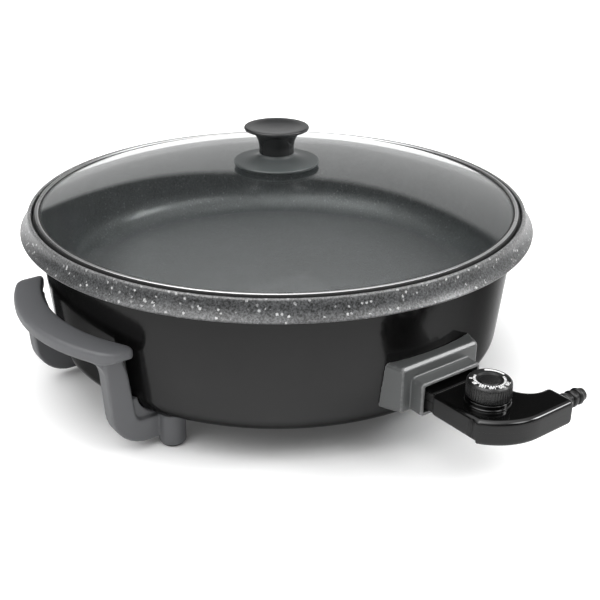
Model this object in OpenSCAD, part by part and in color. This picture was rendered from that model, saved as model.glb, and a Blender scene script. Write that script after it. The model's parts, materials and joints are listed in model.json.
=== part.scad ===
/* [Pan] */
// Outside diameter over the rim band
rim_d = 400; // [360:1:440]
// Height of the pan lip above the counter
rim_h = 137; // [130:1:150]
// Height of the cooking floor above the counter
floor_h = 68; // [64:1:76]
// Thickness of the pan wall
pan_wall = 3; // [2.5:0.1:4]
// Thickness of the pan floor
pan_base = 4; // [3.5:0.1:6]
// Inward lean of the pan wall from ledge to floor
pan_draft = 8; // [7:0.5:14]
// Radius of the inside corner at the floor
pan_corner = 24; // [12:1:30]
// Height of the lip above the lid ledge
lip_h = 5; // [4:0.5:7]
// Width of the lip
lip_w = 3; // [2.5:0.1:4]
// Width of the ledge that carries the lid
ledge_w = 8; // [7:0.5:12]
// Height of the rim band
band_h = 13; // [11:0.5:18]
// How far the rim band flares out below the lip
band_flare = 6.5; // [4:0.5:9]
// Thickness of the rim band
band_t = 2.6; // [2:0.1:3]

/* [Base shell] */
// Height of the shell's underside above the counter
shell_h = 26.4; // [22:0.2:30]
// Thickness of the shell wall
shell_wall = 1.6; // [1.2:0.1:2]
// Gap between the pan wall and the shell at the top
shell_gap = 0.5; // [0.3:0.1:1]
// Inward lean of the shell wall from top to floor
shell_draft = 9.5; // [8:0.5:12]
// Radius of the shell's outside bottom corner
shell_corner = 17; // [12:1:22]
// Radius of the circle of spacer posts
post_circle = 126; // [120:1:132]
// Radius of a spacer post
post_r = 5; // [4:0.5:7]

/* [Heating element] */
// Diameter of the element tube
element_d = 8; // [7:0.5:9]
// Radius of the element ring
element_ring = 95; // [85:1:102]
// Depth of the cast ridge that holds the element
ridge_h = 8.5; // [8:0.5:12]
// Width of the cast ridge
ridge_w = 26; // [24:1:30]
// Bend radius of the element's ends
element_bend = 14; // [10:1:20]
// Thickness of an element clip
clip_t = 1.2; // [0.8:0.1:1.6]

/* [Handles] */
// Height of the grip bar's top above the counter
bar_h = 87; // [80:1:96]
// Thickness of the grip bar
bar_t = 9.5; // [8:0.5:12]
// Width of the grip bar
bar_w = 23; // [20:1:28]
// Length of the grip bar across its ends
bar_span = 154; // [146:1:164]
// Gap between grip bar and shell at mid length
bar_gap = 8; // [6:0.5:12]
// Gap between grip bar and shell at its ends
bar_end_gap = 1.2; // [0.8:0.1:3]
// Rounding of the grip bar's long edges
bar_round = 3; // [2:0.5:4]
// Rounding of the grip bar's ends, seen from above
bar_end_round = 8; // [5:1:9]
// How far the grip bar stands past a leg
bar_past = 6; // [3:0.5:9]
// Thickness of a leg along the bar
leg_t = 13; // [10:1:16]
// Width of a leg at the bar
leg_top_w = 15.5; // [14:0.5:18]
// Width of a leg at the foot
leg_foot_w = 18.5; // [17:0.5:21]
// Gap between a leg and the shell
leg_gap = 2.5; // [1.5:0.5:5]
// Height of the foot run's underside above the counter
run_h = 7; // [5:0.5:9]
// Gap between the foot run and the shell's underside
run_drop = 1.2; // [0.8:0.2:3]
// Rounding of the leg's outer bottom corner
leg_round = 28; // [22:1:32]
// Rounding of the corner between leg and foot run
leg_crook = 6; // [4:1:8]
// Rounding of the leg's long edges
leg_edge = 1.6; // [1:0.2:3]
// Radius of the fillet between grip bar and leg
leg_fillet = 8; // [5:1:12]
// Distance between the two feet of one handle
foot_pitch_y = 143; // [136:1:146]
// Distance between the feet of opposite handles
foot_pitch_x = 287; // [280:1:296]
// Radius of a foot boss
foot_r = 9.8; // [8.6:0.2:11]
// Thickness of a rubber foot pad
pad_t = 2; // [1.5:0.5:4]
// Radius of the handle screws
handle_screw_r = 2; // [1.5:0.25:2.5]

/* [Socket guard] */
// Width of the guard's base block
guard_w = 71; // [66:1:78]
// Height of the base block above the probe axis
guard_top = 22; // [20:0.5:26]
// Depth of both blocks below the probe axis
guard_drop = 12; // [11:0.5:14]
// How far the base block stands out of the shell
guard_out = 11; // [9:0.5:14]
// Width of the mouth block
mouth_w = 54; // [52:1:58]
// Height of the mouth block above the probe axis
mouth_top = 13; // [12:0.5:16]
// Length of the mouth block
mouth_len = 11; // [10:0.5:16]
// Wall thickness of the guard
guard_wall = 2.5; // [2:0.1:3]
// How far the base block's sides spread towards the shell
guard_flare = 5.5; // [3:0.5:7]
// Thickness of the terminal plate
plate_t = 3; // [2:0.2:4]
// Radius of a terminal pin
pin_r = 3; // [2.5:0.1:3.2]
// Distance from the probe axis to a terminal pin
pin_x = 14; // [13.5:0.5:15]

/* [Lid] */
// Thickness of the glass
glass_t = 3; // [2.6:0.2:4]
// Rise of the glass dome from edge to crown
dome_rise = 28; // [20:1:34]
// Gap between the lid's steel rim and the pan lip
lid_gap = 2.4; // [1.5:0.1:4]
// Sheet thickness of the steel rim
lid_rim_t = 0.8; // [0.6:0.1:1]
// Width of the steel rim's rolled bead
lid_rim_w = 3; // [2.4:0.2:5]
// Height of the rolled bead
lid_bead_h = 0.9; // [0.6:0.1:1.4]
// Radius of the hole in the glass
glass_hole = 4; // [3.5:0.5:5]

/* [Knob] */
// Radius of the knob's flange
flange_r = 33.4; // [28:0.2:38]
// Radius of the knob's stem
stem_r = 13.5; // [12:0.5:16]
// Radius of the knob's top
knob_r = 25.2; // [20:0.2:30]
// Height of the knob above the gasket
knob_h = 29; // [26:1:36]
// Height of the knob's flange part
flange_h = 8; // [7:0.5:10]
// Thickness of the knob gasket
gasket_t = 1.2; // [1:0.1:2]
// Radius of the knob screw
knob_screw_r = 2.5; // [2:0.25:3]

/* [Controller] */
// Width of the controller body
body_w = 48; // [46:1:52]
// Width of the nose that plugs in
nose_w = 44; // [42:0.5:46]
// Height of the controller above the probe axis
body_top = 8; // [7.5:0.5:10]
// Depth of the controller below the probe axis
body_drop = 8.5; // [8:0.5:10]
// Wall thickness of the housings
case_wall = 2.2; // [1.8:0.1:2.6]
// Gap between guard mouth and controller shoulder
shoulder_gap = 4.5; // [2:0.5:6]
// Distance from the shoulder to the dial axis
dial_y = 28; // [26:1:32]
// Distance from the dial axis to the front of the tail
tail_y = 33.5; // [31:0.5:38]
// Distance from the dial axis to the tail's end
tail_x = 47; // [44:1:56]
// Width of the tail
tail_w = 22.5; // [20:0.5:25]
// Radius of the outside sweep into the tail
sweep_r = 46.5; // [42:0.5:50]
// Radius of the inside sweep into the tail
crook_r = 16; // [12:1:18]
// How much deeper the tail is than the body
tail_drop = 1.8; // [1:0.2:3]
// Rounding of the housing edges
case_round = 2.8; // [1.5:0.1:3]
// Radius of the probe rod
probe_r = 3.2; // [2.5:0.1:3.6]
// Length of the probe beyond the nose
probe_len = 70; // [66:1:80]
// Wall of a contact sleeve
sleeve_wall = 1.1; // [0.8:0.1:1.4]
// Length of a contact sleeve
sleeve_len = 14; // [12:0.5:15]
// Length of the strain relief outside the housing
relief_len = 21; // [18:1:28]
// Radius of a strain relief rib
relief_r = 6; // [5.2:0.2:7]
// Bore radius for a mains lead
lead_r = 3.4; // [2.8:0.1:3.8]

/* [Dial] */
// Radius of the dial
dial_r = 15; // [13:0.2:16]
// Height of the dial
dial_h = 12; // [10:0.5:16]
// Height of the collar under the dial
collar_h = 4; // [3:0.5:6]
// Radius of the dial shaft
shaft_r = 3; // [2.5:0.1:3.5]

/* [Clearances] */
// Sliding gap between separate pieces
slip = 0.3; // [0.2:0.05:0.4]
// Running gap of a shaft or pin
run_gap = 0.06; // [0.03:0.01:0.09]
// Seating gap between pieces of one body
seat_gap = 0.15; // [0.1:0.05:0.25]

/* [Hidden] */
$fn = 96;

// Pan rim
rim_r = rim_d / 2;
lip_out = rim_r - band_flare;
lip_in = lip_out - lip_w;
ledge_z = rim_h - lip_h;
ledge_under = ledge_z - pan_wall;
pan_in = lip_in - ledge_w;
pan_out = pan_in + pan_wall;
floor_under = floor_h - pan_base;
band_bow = 1.8;

// Base shell
shell_top_r = pan_out + shell_gap + shell_wall;
shell_floor = shell_h + shell_wall;
shell_slope = shell_draft / (ledge_under - shell_h);
pad_seat_h = 6.5;
post_angles = [90, 210, 330];
post_screw_r = 2;
post_screw_len = 14;
spigot_r = 2.5;
spigot_h = pan_base / 2;

// Probe axis, shared by the sleeve, the pins, the guard and the controller
axis_z = floor_under - ridge_h;
element_r = element_d / 2;
bend_x = pin_x + element_bend;
bend_y = -sqrt(pow(element_ring + element_bend, 2) - pow(bend_x, 2));
bend_angle = atan2(-bend_y, bend_x);
clip_angles = [0, 90, 180];
clip_sweep = 7;
clip_half = ridge_w / 2 - 1;
clip_screw_r = 1.2;
clip_screw_at = (element_r + clip_t + clip_half) / 2 + 0.4;

// Shell radius at a height, on the straight part of its wall
function shell_r(z) = shell_top_r - shell_slope * (ledge_under - z);

// Handles
bar_mid = shell_r(bar_h) + bar_gap;
bar_half = bar_span / 2;
bar_end_x = sqrt(pow(shell_r(bar_h) + bar_end_gap, 2) - pow(bar_half, 2));
bar_sag = bar_mid - bar_end_x;
bar_arc = (pow(bar_half, 2) + pow(bar_sag, 2)) / (2 * bar_sag);
bar_center = bar_mid - bar_arc;
bar_under = bar_h - bar_t;
bar_z = bar_h - bar_t / 2;
leg_y1 = bar_half - bar_past;
leg_y0 = leg_y1 - leg_t;
run_top = shell_h - run_drop;
foot_x = foot_pitch_x / 2;
foot_y = foot_pitch_y / 2;
pad_r = foot_r - 1.4;
pad_edge = 0.8;
head_r = handle_screw_r * 2;
head_h = handle_screw_r * 1.3;
head_z = pad_t + 4.5;
head_room = 0.6;

// Inner face of a leg at a height, and middle of the grip bar at a place along it
function leg_in(z) = sqrt(pow(shell_r(z), 2) - pow(leg_y0, 2)) + leg_gap;
function bar_x(y) = bar_center + sqrt(pow(bar_arc, 2) - pow(y, 2)) + bar_w / 2;

// Socket guard
guard_y = -(shell_r(axis_z) + guard_out);
mouth_y = guard_y - mouth_len;
step_y = guard_y + guard_wall;
guard_low = axis_z - guard_drop;
cavity_w = mouth_w - 2 * guard_wall;
plate_y = step_y + plate_t;
plate_w = mouth_w - 2 * slip;
pin_tip = mouth_y + 2;
element_end = -(shell_r(axis_z) - shell_wall - 10);
guard_screw_x = (guard_w / 2 + mouth_w / 2) / 2;
guard_screw_r = 1.6;
guard_screw_z = axis_z + (guard_top - guard_drop) / 2;
window_w = 2 * (pin_x + pin_r + 4);
window_h = 2 * (pin_r + 4.5);
bush_r = pin_r + 2.4;
sleeve_half = probe_r + 3.3;
sleeve_y0 = -(element_ring + 53);
sleeve_y1 = -(element_ring + 23);

// Lid
lid_r = lip_in - lid_gap;
glass_r = lid_r - lid_rim_t - seat_gap;
glass_low = ledge_z + lid_rim_t + seat_gap;
glass_edge = glass_low + glass_t;
crown_z = glass_edge + dome_rise;
dome_power = 2.3;
function dome_z(r) = glass_edge + dome_rise * (1 - pow(r / glass_r, dome_power));

// Knob
base_z = crown_z + gasket_t;
grip_z = base_z + flange_h;
knob_top = base_z + knob_h;
gasket_r = flange_r - 4;
grip_spigot = stem_r - 4;
grip_spigot_h = 4;
insert_r = knob_screw_r + 2;
insert_h = knob_h - flange_h - 9;
washer_t = 1.5;
washer_r = 11;
seal_t = 1;
under_crown = crown_z - glass_t;

// Controller
nose_y = step_y - slip;
shoulder_y = mouth_y - shoulder_gap;
dial_c = shoulder_y - dial_y;
tail_front = dial_c - tail_y;
tail_back = tail_front + tail_w;
tail_mid = tail_front + tail_w / 2;
case_top = axis_z + body_top;
case_low = axis_z - body_drop;
nose_top = case_top - 1;
nose_low = case_low + 1;
half_w = body_w / 2;
end_round = 4;
sweep_c = [sweep_r - half_w - 8.5, tail_front + sweep_r];
corner_y = sweep_c[1] - sqrt(pow(sweep_r, 2) - pow(half_w + sweep_c[0], 2));
sleeve_r = pin_r + run_gap + sleeve_wall;
sleeve_back = nose_y - 1 - sleeve_len;
block_y0 = nose_y - case_wall - seat_gap;
block_y1 = sleeve_back - 2;
block_w = nose_w - 2 * case_wall - 2 * seat_gap;
probe_tip = nose_y + probe_len;
probe_back = block_y1 - 4;
screw_r = 1.4;
column_r = 3.4;
column_in = case_wall + column_r - 0.5;
column_spots = [[column_in - half_w, dial_c - 9], [tail_x / 2 + 2, tail_front + column_in]];
case_screw_head = 2.6;
case_screw_sink = 3;
frame_w = 20;
frame_t = 1.2;
leaf_w = 6;
leaf_t = 0.5;
stack_r = 3.6;
relief_neck = relief_r - 1.2;
relief_flange = 2.5;

// Dial
collar_z = case_top + collar_h;
dial_z = collar_z + slip;
dial_top = dial_z + dial_h;
clip_ring_t = 0.8;
leaf_low = nose_low + case_wall + frame_t + 1.2;
leaf_high = leaf_low + leaf_t + 1.4;
shaft_low = leaf_high + leaf_t + slip;

// Points along an arc
function arc(c, r, a0, a1, n = 8) =
    [for (i = [0:n]) c + r * [cos(a0 + (a1 - a0) * i / n), sin(a0 + (a1 - a0) * i / n)]];

// A list turned end for end
function flip(p) = [for (i = [len(p) - 1:-1:0]) p[i]];

// Bowl outline from the axis along the floor, round the corner and up the leaning wall
function bowl(r_top, z_top, z_floor, draft, r) =
    let (lean = atan(draft / (z_top - z_floor)),
         cz = z_floor + r,
         cx = r_top - tan(lean) * (z_top - cz + r * sin(lean)) - r * cos(lean))
    concat([[0, z_floor]], arc([cx, cz], r, -90, -lean), [[r_top, z_top]]);

// Outer face of the rim band at a share of its height, from the lip down
function band_pt(t, inset = 0) = [lip_out + band_flare * pow(t, band_bow) - inset, rim_h - band_h * t];

// Corner points of a centred rectangle with round corners
function round_pts(w, h, r) = concat(
    arc([w / 2 - r, h / 2 - r], r, 0, 90, 6), arc([r - w / 2, h / 2 - r], r, 90, 180, 6),
    arc([r - w / 2, r - h / 2], r, 180, 270, 6), arc([w / 2 - r, r - h / 2], r, 270, 360, 6));

module round_rect(w, h, r) {
    polygon(round_pts(w, h, r));
}

// Solid between rings of points, each ring counter-clockwise seen from the last one.
// The two core points see every point of the first and the last ring.
module loft(rings, core0, core1) {
    n = len(rings[0]);
    m = len(rings);
    last = (m - 1) * n;
    polyhedron(
        points = concat([for (r = rings) each r], [core0, core1]),
        faces = concat(
            [for (j = [0:n - 1]) [m * n, j, (j + 1) % n]],
            [for (i = [0:m - 2], j = [0:n - 1]) [i * n + j, (i + 1) * n + j, (i + 1) * n + (j + 1) % n]],
            [for (i = [0:m - 2], j = [0:n - 1]) [i * n + j, (i + 1) * n + (j + 1) % n, i * n + (j + 1) % n]],
            [for (j = [0:n - 1]) [m * n + 1, last + (j + 1) % n, last + j]]),
        convexity = 6);
}

// A cylinder along Y between two places
module rod_y(r, y0, y1) {
    translate([0, max(y0, y1), 0])
        rotate([90, 0, 0])
            cylinder(r = r, h = abs(y1 - y0));
}

// A screw that points up: pan head below, shank above
module screw_up(r, head, head_t, length) {
    cylinder(r = r, h = length);
    translate([0, 0, -head_t])
        cylinder(r1 = head * 0.8, r2 = head, h = head_t);
}

// Places of the four feet
module at_feet() {
    for (sx = [-1, 1], sy = [-1, 1])
        translate([sx * foot_x, sy * foot_y, 0])
            children();
}

module at_posts() {
    for (a = post_angles)
        rotate([0, 0, a])
            translate([post_circle, 0, 0])
                children();
}

module pan() {
    under = bowl(pan_out, ledge_under, floor_under, pan_draft, pan_corner + pan_wall);
    inside = bowl(pan_in, ledge_z, floor_h, pan_draft, pan_corner);
    t_under = (rim_h - ledge_under) / band_h;
    steps = 8;
    skirt_in = [for (i = [0:steps]) band_pt(t_under + (1 - t_under) * i / steps, band_t)];
    skirt_out = [for (i = [steps:-1:1]) band_pt(i / steps)];
    toe = arc([rim_r - band_t / 2, rim_h - band_h], band_t / 2, 180, 360);
    lip_round = lip_w / 3;
    lip = concat(
        arc([lip_out - lip_round, rim_h - lip_round], lip_round, 0, 90),
        arc([lip_in + lip_round, rim_h - lip_round], lip_round, 90, 180));
    color("dimgray")
        difference() {
            union() {
                rotate_extrude()
                    polygon(concat(under, skirt_in, toe, skirt_out, lip, [[lip_in, ledge_z]], flip(inside)));
                translate([0, 0, axis_z])
                    rotate_extrude()
                        translate([element_ring - ridge_w / 2, 0])
                            square([ridge_w, ridge_h + pan_base / 2]);
            }
            rotate_extrude()
                translate([element_ring, axis_z])
                    circle(r = element_r + seat_gap);
            translate([0, -element_ring, axis_z - 1])
                translate([-bend_x - element_r - 2, -ridge_w, 0])
                    cube([2 * (bend_x + element_r + 2), 2 * ridge_w, ridge_h + 1]);
            at_posts()
                translate([0, 0, floor_under - 1])
                    cylinder(r = spigot_r + seat_gap, h = spigot_h + 1 + seat_gap);
            at_clip_screws()
                translate([0, 0, axis_z - 1])
                    cylinder(r = clip_screw_r + seat_gap, h = 1 + ridge_h * 0.7);
        }
}

module base_shell() {
    outer = bowl(shell_top_r, ledge_under, shell_h, shell_draft, shell_corner);
    inner = bowl(shell_top_r - shell_wall, ledge_under, shell_floor, shell_draft, shell_corner - shell_wall);
    color("#2b2b2c")
        difference() {
            union() {
                rotate_extrude($fn = 180)
                    polygon(concat(outer, flip(inner)));
                at_feet()
                    translate([0, 0, shell_h])
                        cylinder(r = foot_r - 1, h = pad_seat_h);
            }
            at_feet()
                translate([0, 0, shell_h - 1])
                    cylinder(r = handle_screw_r + seat_gap, h = pad_seat_h);
            at_posts()
                translate([0, 0, shell_h - 1])
                    cylinder(r = post_screw_r + seat_gap, h = shell_wall + 2);
            translate([-window_w / 2, -shell_top_r - 1, axis_z - window_h / 2])
                cube([window_w, shell_top_r - pin_x * 2, window_h]);
            guard_screw_holes(shell_wall * 3);
        }
}

module spacer_posts() {
    color("lightsteelblue")
        at_posts()
            difference() {
                union() {
                    translate([0, 0, shell_floor])
                        cylinder(r = post_r, h = floor_under - shell_floor);
                    translate([0, 0, floor_under])
                        cylinder(r = spigot_r, h = spigot_h);
                }
                translate([0, 0, shell_floor - 1])
                    cylinder(r = post_screw_r + seat_gap, h = post_screw_len + 1);
            }
}

module post_screws() {
    color("silver")
        at_posts()
            translate([0, 0, shell_h])
                screw_up(post_screw_r, post_screw_r * 2, post_screw_r * 1.2, post_screw_len);
}

// Route of the element: leg, bend, ring, bend, leg
function element_route() =
    let (right = concat(
            [[pin_x, element_end]],
            arc([bend_x, bend_y], element_bend, 180, 180 - bend_angle, 8)),
         ring = arc([0, 0], element_ring, -bend_angle, 180 + bend_angle, 48),
         left = [for (p = flip(right)) [-p[0], p[1]]])
    concat(right, [for (i = [1:len(ring) - 2]) ring[i]], left);

// Round section of the element tube at a place of its route
function element_ring_at(route, i) =
    let (a = route[max(i - 1, 0)],
         b = route[min(i + 1, len(route) - 1)],
         t = (b - a) / norm(b - a),
         sides = 12)
    [for (k = [0:sides - 1])
        let (w = 360 * k / sides)
        [route[i][0] + element_r * cos(w) * t[1], route[i][1] - element_r * cos(w) * t[0],
            axis_z + element_r * sin(w)]];

module heating_element() {
    route = element_route();
    ends = [route[0], route[len(route) - 1]];
    color("gray")
        loft([for (i = [0:len(route) - 1]) element_ring_at(route, i)],
            [ends[0][0], ends[0][1], axis_z], [ends[1][0], ends[1][1], axis_z]);
}

// Places of the clip screws, two to a clip
module at_clip_screws() {
    for (a = clip_angles, side = [-1, 1])
        rotate([0, 0, a])
            translate([element_ring + side * clip_screw_at, 0, 0])
                children();
}

module element_clips() {
    arch = element_r + seat_gap;
    color("silver")
        difference() {
            for (a = clip_angles)
                rotate([0, 0, a - clip_sweep / 2])
                    rotate_extrude(angle = clip_sweep)
                        translate([element_ring, axis_z])
                            difference() {
                                union() {
                                    circle(r = arch + clip_t);
                                    translate([-clip_half, -clip_t])
                                        square([2 * clip_half, clip_t]);
                                }
                                circle(r = arch);
                                translate([-ridge_w, 0])
                                    square([2 * ridge_w, ridge_w]);
                            }
            at_clip_screws()
                translate([0, 0, axis_z - clip_t - 1])
                    cylinder(r = clip_screw_r + seat_gap, h = clip_t + 2);
        }
}

module clip_screws() {
    color("gainsboro")
        at_clip_screws()
            translate([0, 0, axis_z - clip_t])
                screw_up(clip_screw_r, clip_screw_r * 1.9, clip_screw_r, clip_t + ridge_h * 0.55);
}

module probe_sleeve() {
    color("lightgray")
        translate([0, 0, axis_z])
            difference() {
                union() {
                    rod_y(sleeve_half, sleeve_y0, sleeve_y1);
                    translate([-sleeve_half, sleeve_y0, 0])
                        cube([2 * sleeve_half, sleeve_y1 - sleeve_y0, ridge_h]);
                }
                rod_y(probe_r + slip, sleeve_y0 - 1, sleeve_y1 + 1);
            }
}

// A terminal pin and its tip, at both sides of the probe axis
module at_pins() {
    for (side = [-1, 1])
        translate([side * pin_x, 0, axis_z])
            children();
}

module terminal_pins() {
    tip_h = pin_r * 0.6;
    color("silver")
        at_pins() {
            rod_y(pin_r, element_end, pin_tip + tip_h);
            translate([0, pin_tip + tip_h, 0])
                rotate([90, 0, 0])
                    cylinder(r1 = pin_r, r2 = pin_r * 0.6, h = tip_h);
        }
}

module insulator_bushes() {
    color("ivory")
        at_pins()
            difference() {
                rod_y(bush_r, plate_y, element_end - 1);
                rod_y(pin_r + seat_gap, plate_y - 1, element_end + 1);
            }
}

module terminal_plate() {
    plate_low = guard_low + guard_wall + slip;
    plate_high = axis_z + guard_top - guard_wall - slip;
    color("antiquewhite")
        difference() {
            translate([-plate_w / 2, step_y, plate_low])
                cube([plate_w, plate_t, plate_high - plate_low]);
            at_pins()
                rod_y(pin_r + seat_gap, step_y - 1, plate_y + 1);
            translate([0, 0, axis_z])
                rod_y(probe_r + 2 * slip, step_y - 1, plate_y + 1);
        }
}

// Outline of a guard block in a plane across Y, moved in by trim
function guard_ring(y, w, top, trim) =
    [for (p = round_pts(w - 2 * trim, top + guard_drop - 2 * trim, 3))
        [p[0], y, p[1] + axis_z + (top - guard_drop) / 2]];

module guard_screw_holes(depth) {
    front = guard_y + guard_wall;
    for (side = [-1, 1])
        translate([side * guard_screw_x, 0, guard_screw_z])
            rod_y(guard_screw_r + seat_gap, front, front + 2 * guard_out + depth);
}

module socket_guard() {
    edge = 1.6;
    root_y = -shell_r(axis_z) + guard_out;
    color("#6f7274")
        difference() {
            union() {
                loft([guard_ring(root_y, guard_w + 2 * guard_flare, guard_top, -edge),
                    guard_ring(guard_y + edge, guard_w, guard_top, 0),
                    guard_ring(guard_y + edge / 3, guard_w, guard_top, edge / 3),
                    guard_ring(guard_y, guard_w, guard_top, edge)],
                    [0, root_y, axis_z], [0, guard_y, axis_z]);
                loft([guard_ring(guard_y + edge, mouth_w, mouth_top, 0),
                    guard_ring(mouth_y + edge / 2, mouth_w, mouth_top, 0),
                    guard_ring(mouth_y, mouth_w, mouth_top, edge / 2)],
                    [0, guard_y + edge, axis_z], [0, mouth_y, axis_z]);
            }
            rotate_extrude($fn = 180)
                polygon([[0, guard_low - 8], [shell_r(guard_low - 8) + seat_gap, guard_low - 8],
                    [shell_r(axis_z + guard_top + 8) + seat_gap, axis_z + guard_top + 8],
                    [0, axis_z + guard_top + 8]]);
            translate([-mouth_w / 2, step_y, guard_low + guard_wall])
                cube([mouth_w, guard_out + 20, guard_top + guard_drop - 2 * guard_wall]);
            translate([-cavity_w / 2, mouth_y - 1, guard_low + guard_wall])
                cube([cavity_w, mouth_len + guard_out, mouth_top + guard_drop - 2 * guard_wall]);
            guard_screw_holes(0);
        }
}

module guard_screws() {
    screw_head = guard_screw_r * 2;
    head_edge = guard_screw_x + screw_head;
    seat = -sqrt(pow(shell_r(guard_screw_z) - shell_wall, 2) - pow(head_edge, 2)) + slip;
    color("silver")
        for (side = [-1, 1])
            translate([side * guard_screw_x, 0, guard_screw_z]) {
                rod_y(guard_screw_r, guard_y + guard_wall + 1, seat);
                rod_y(screw_head, seat, seat + guard_screw_r);
            }
}

// Side outline of a leg and its foot run, in X and Z, for the handle at +X, moved in by d
function leg_outline(d) =
    let (z_top = bar_z,
         z_neck = bar_under - leg_fillet - 6,
         in_low = leg_in(run_top),
         in_top = max(leg_in(z_top), bar_x(leg_y0) - bar_w / 2),
         out_top = leg_in(z_top) + leg_top_w,
         out_low = in_low + leg_foot_w,
         lean = atan((out_top - out_low) / (z_top - run_h - leg_round)))
    concat(
        [[foot_x, run_h + d]],
        arc([out_low - leg_round, run_h + leg_round], leg_round - d, -90, -lean),
        [[out_top - d, z_top], [in_top + d, z_top], [leg_in(z_neck) + d, z_neck]],
        arc([in_low - leg_crook, run_top + leg_crook], leg_crook + d, 0, -90, 6),
        [[foot_x, run_top - d]]);

// One leg with rounded edges, between two places along Y
module leg(y0, y1) {
    turns = [0, 30, 60, 90];
    core = [leg_in(run_top) + leg_foot_w / 2, (run_h + run_top) / 2];
    function ring(y, d) = [for (p = leg_outline(d)) [p[0], y, p[1]]];
    loft(concat(
        [for (a = turns) ring(y1 - leg_edge * (1 - cos(a)), leg_edge * (1 - sin(a)))],
        [for (a = flip(turns)) ring(y0 + leg_edge * (1 - cos(a)), leg_edge * (1 - sin(a)))]),
        [core[0], y1, core[1]], [core[0], y0, core[1]]);
}

// Web in the crook of the leg at +Y, clear of the shell's corner
module leg_web() {
    web_t = leg_t * 0.4;
    difference() {
        translate([foot_x, leg_y0 + (leg_t - web_t) / 2, run_top - leg_edge])
            cube([leg_in(run_top) + leg_foot_w / 2 - foot_x, web_t, shell_corner + leg_edge]);
        rotate_extrude($fn = 180)
            polygon(concat(
                bowl(shell_top_r + run_drop, ledge_under, shell_h - run_drop, shell_draft,
                    shell_corner + run_drop),
                [[0, ledge_under]]));
    }
}

// Fillet between the underside of the grip bar and a leg, for the leg at +Y
module bar_fillet() {
    x0 = bar_x(leg_y0) - bar_w / 2 + leg_edge;
    y0 = leg_y0 - leg_fillet;
    z0 = bar_under - leg_fillet;
    translate([x0, 0, 0])
        rotate([90, 0, 90])
            linear_extrude(leg_in(bar_under) + leg_top_w - 2 * leg_edge - x0)
                polygon(concat(
                    [[leg_y0 + leg_t / 2, bar_z], [leg_y0 + leg_t / 2, z0]],
                    arc([y0, z0], leg_fillet, 0, 90),
                    [[y0, bar_z]]));
}

// Section of the grip bar across Y, narrowed by dx and dz on each side
function bar_ring(y, dx, dz) =
    let (mid = bar_x(y),
         edge = bar_round - dz * 5 / 6)
    [for (p = round_pts(bar_w - 2 * dx, bar_t - 2 * dz, edge)) [mid + p[0], y, bar_z + p[1]]];

module grip_bar() {
    turns = [0, 25, 50, 75];
    steps = 10;
    straight = bar_half - bar_end_round;
    function end_ring(side, a) = bar_ring(side * (straight + bar_end_round * cos(a)),
        bar_end_round * (1 - sin(a)), bar_round * (1 - sin(a)));
    loft(concat(
        [for (a = turns) end_ring(1, a)],
        [for (i = [steps:-1:-steps]) bar_ring(straight * i / steps, 0, 0)],
        [for (a = flip(turns)) end_ring(-1, a)]),
        [bar_x(bar_half), bar_half, bar_z], [bar_x(bar_half), -bar_half, bar_z]);
}

module handle() {
    difference() {
        union() {
            grip_bar();
            leg(leg_y0, leg_y1);
            leg(-leg_y1, -leg_y0);
            for (side = [0, 1])
                mirror([0, side, 0]) {
                    bar_fillet();
                    leg_web();
                }
            for (side = [-1, 1])
                translate([foot_x, side * foot_y, pad_t])
                    cylinder(r = foot_r, h = shell_h - pad_t);
        }
        for (side = [-1, 1])
            translate([foot_x, side * foot_y, 0]) {
                cylinder(r = handle_screw_r + seat_gap, h = shell_h + 1);
                cylinder(r = head_r + head_room, h = head_z + head_h);
            }
    }
}

module right_handle() {
    color("#55575a")
        handle();
}

module left_handle() {
    color("#55575a")
        mirror([1, 0, 0])
            handle();
}

module handle_screws() {
    color("silver")
        at_feet()
            translate([0, 0, head_z + head_h])
                screw_up(handle_screw_r, head_r, head_h, shell_h - head_z - head_h + pad_seat_h - 2);
}

module foot_pads() {
    color("#222222")
        at_feet() {
            cylinder(r1 = pad_r - pad_edge, r2 = pad_r, h = pad_edge);
            translate([0, 0, pad_edge])
                cylinder(r = pad_r, h = pad_t - pad_edge);
            translate([0, 0, pad_t])
                cylinder(r = head_r + head_room - seat_gap, h = head_z - pad_t - slip);
        }
}

module lid_glass() {
    steps = 18;
    radii = [for (i = [0:steps]) glass_hole + (glass_r - glass_hole) * i / steps];
    color([0.75, 0.85, 0.85, 0.35])
        rotate_extrude($fn = 180)
            polygon(concat(
                [for (r = radii) [r, dome_z(r) - glass_t]],
                [for (i = [steps:-1:0]) [radii[i], dome_z(radii[i])]]));
}

module lid_rim() {
    steps = 4;
    r_in = lid_r - lid_rim_w;
    r_seat = glass_r + seat_gap;
    radii = [for (i = [0:steps]) r_in + (r_seat - r_in) * i / steps];
    function over(r) = dome_z(min(r, glass_r)) + seat_gap;
    bead_z = over(r_in) + lid_rim_t / 2;
    bead = [for (p = arc([0, 0], 1, 0, 180, 10))
        [lid_r - lid_rim_w / 2 * (1 - p[0]), bead_z + lid_bead_h * p[1]]];
    foot_in = glass_r - 1.5;
    color("silver")
        rotate_extrude($fn = 180)
            polygon(concat(
                [[foot_in, ledge_z], [lid_r, ledge_z]],
                bead,
                [for (r = radii) [r, over(r)]],
                [[r_seat, ledge_z + lid_rim_t], [foot_in, ledge_z + lid_rim_t]]));
}

module knob_gasket() {
    color("#1c1c1c")
        translate([0, 0, crown_z])
            difference() {
                cylinder(r = gasket_r, h = gasket_t);
                translate([0, 0, -1])
                    cylinder(r = glass_hole, h = gasket_t + 2);
            }
}

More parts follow.
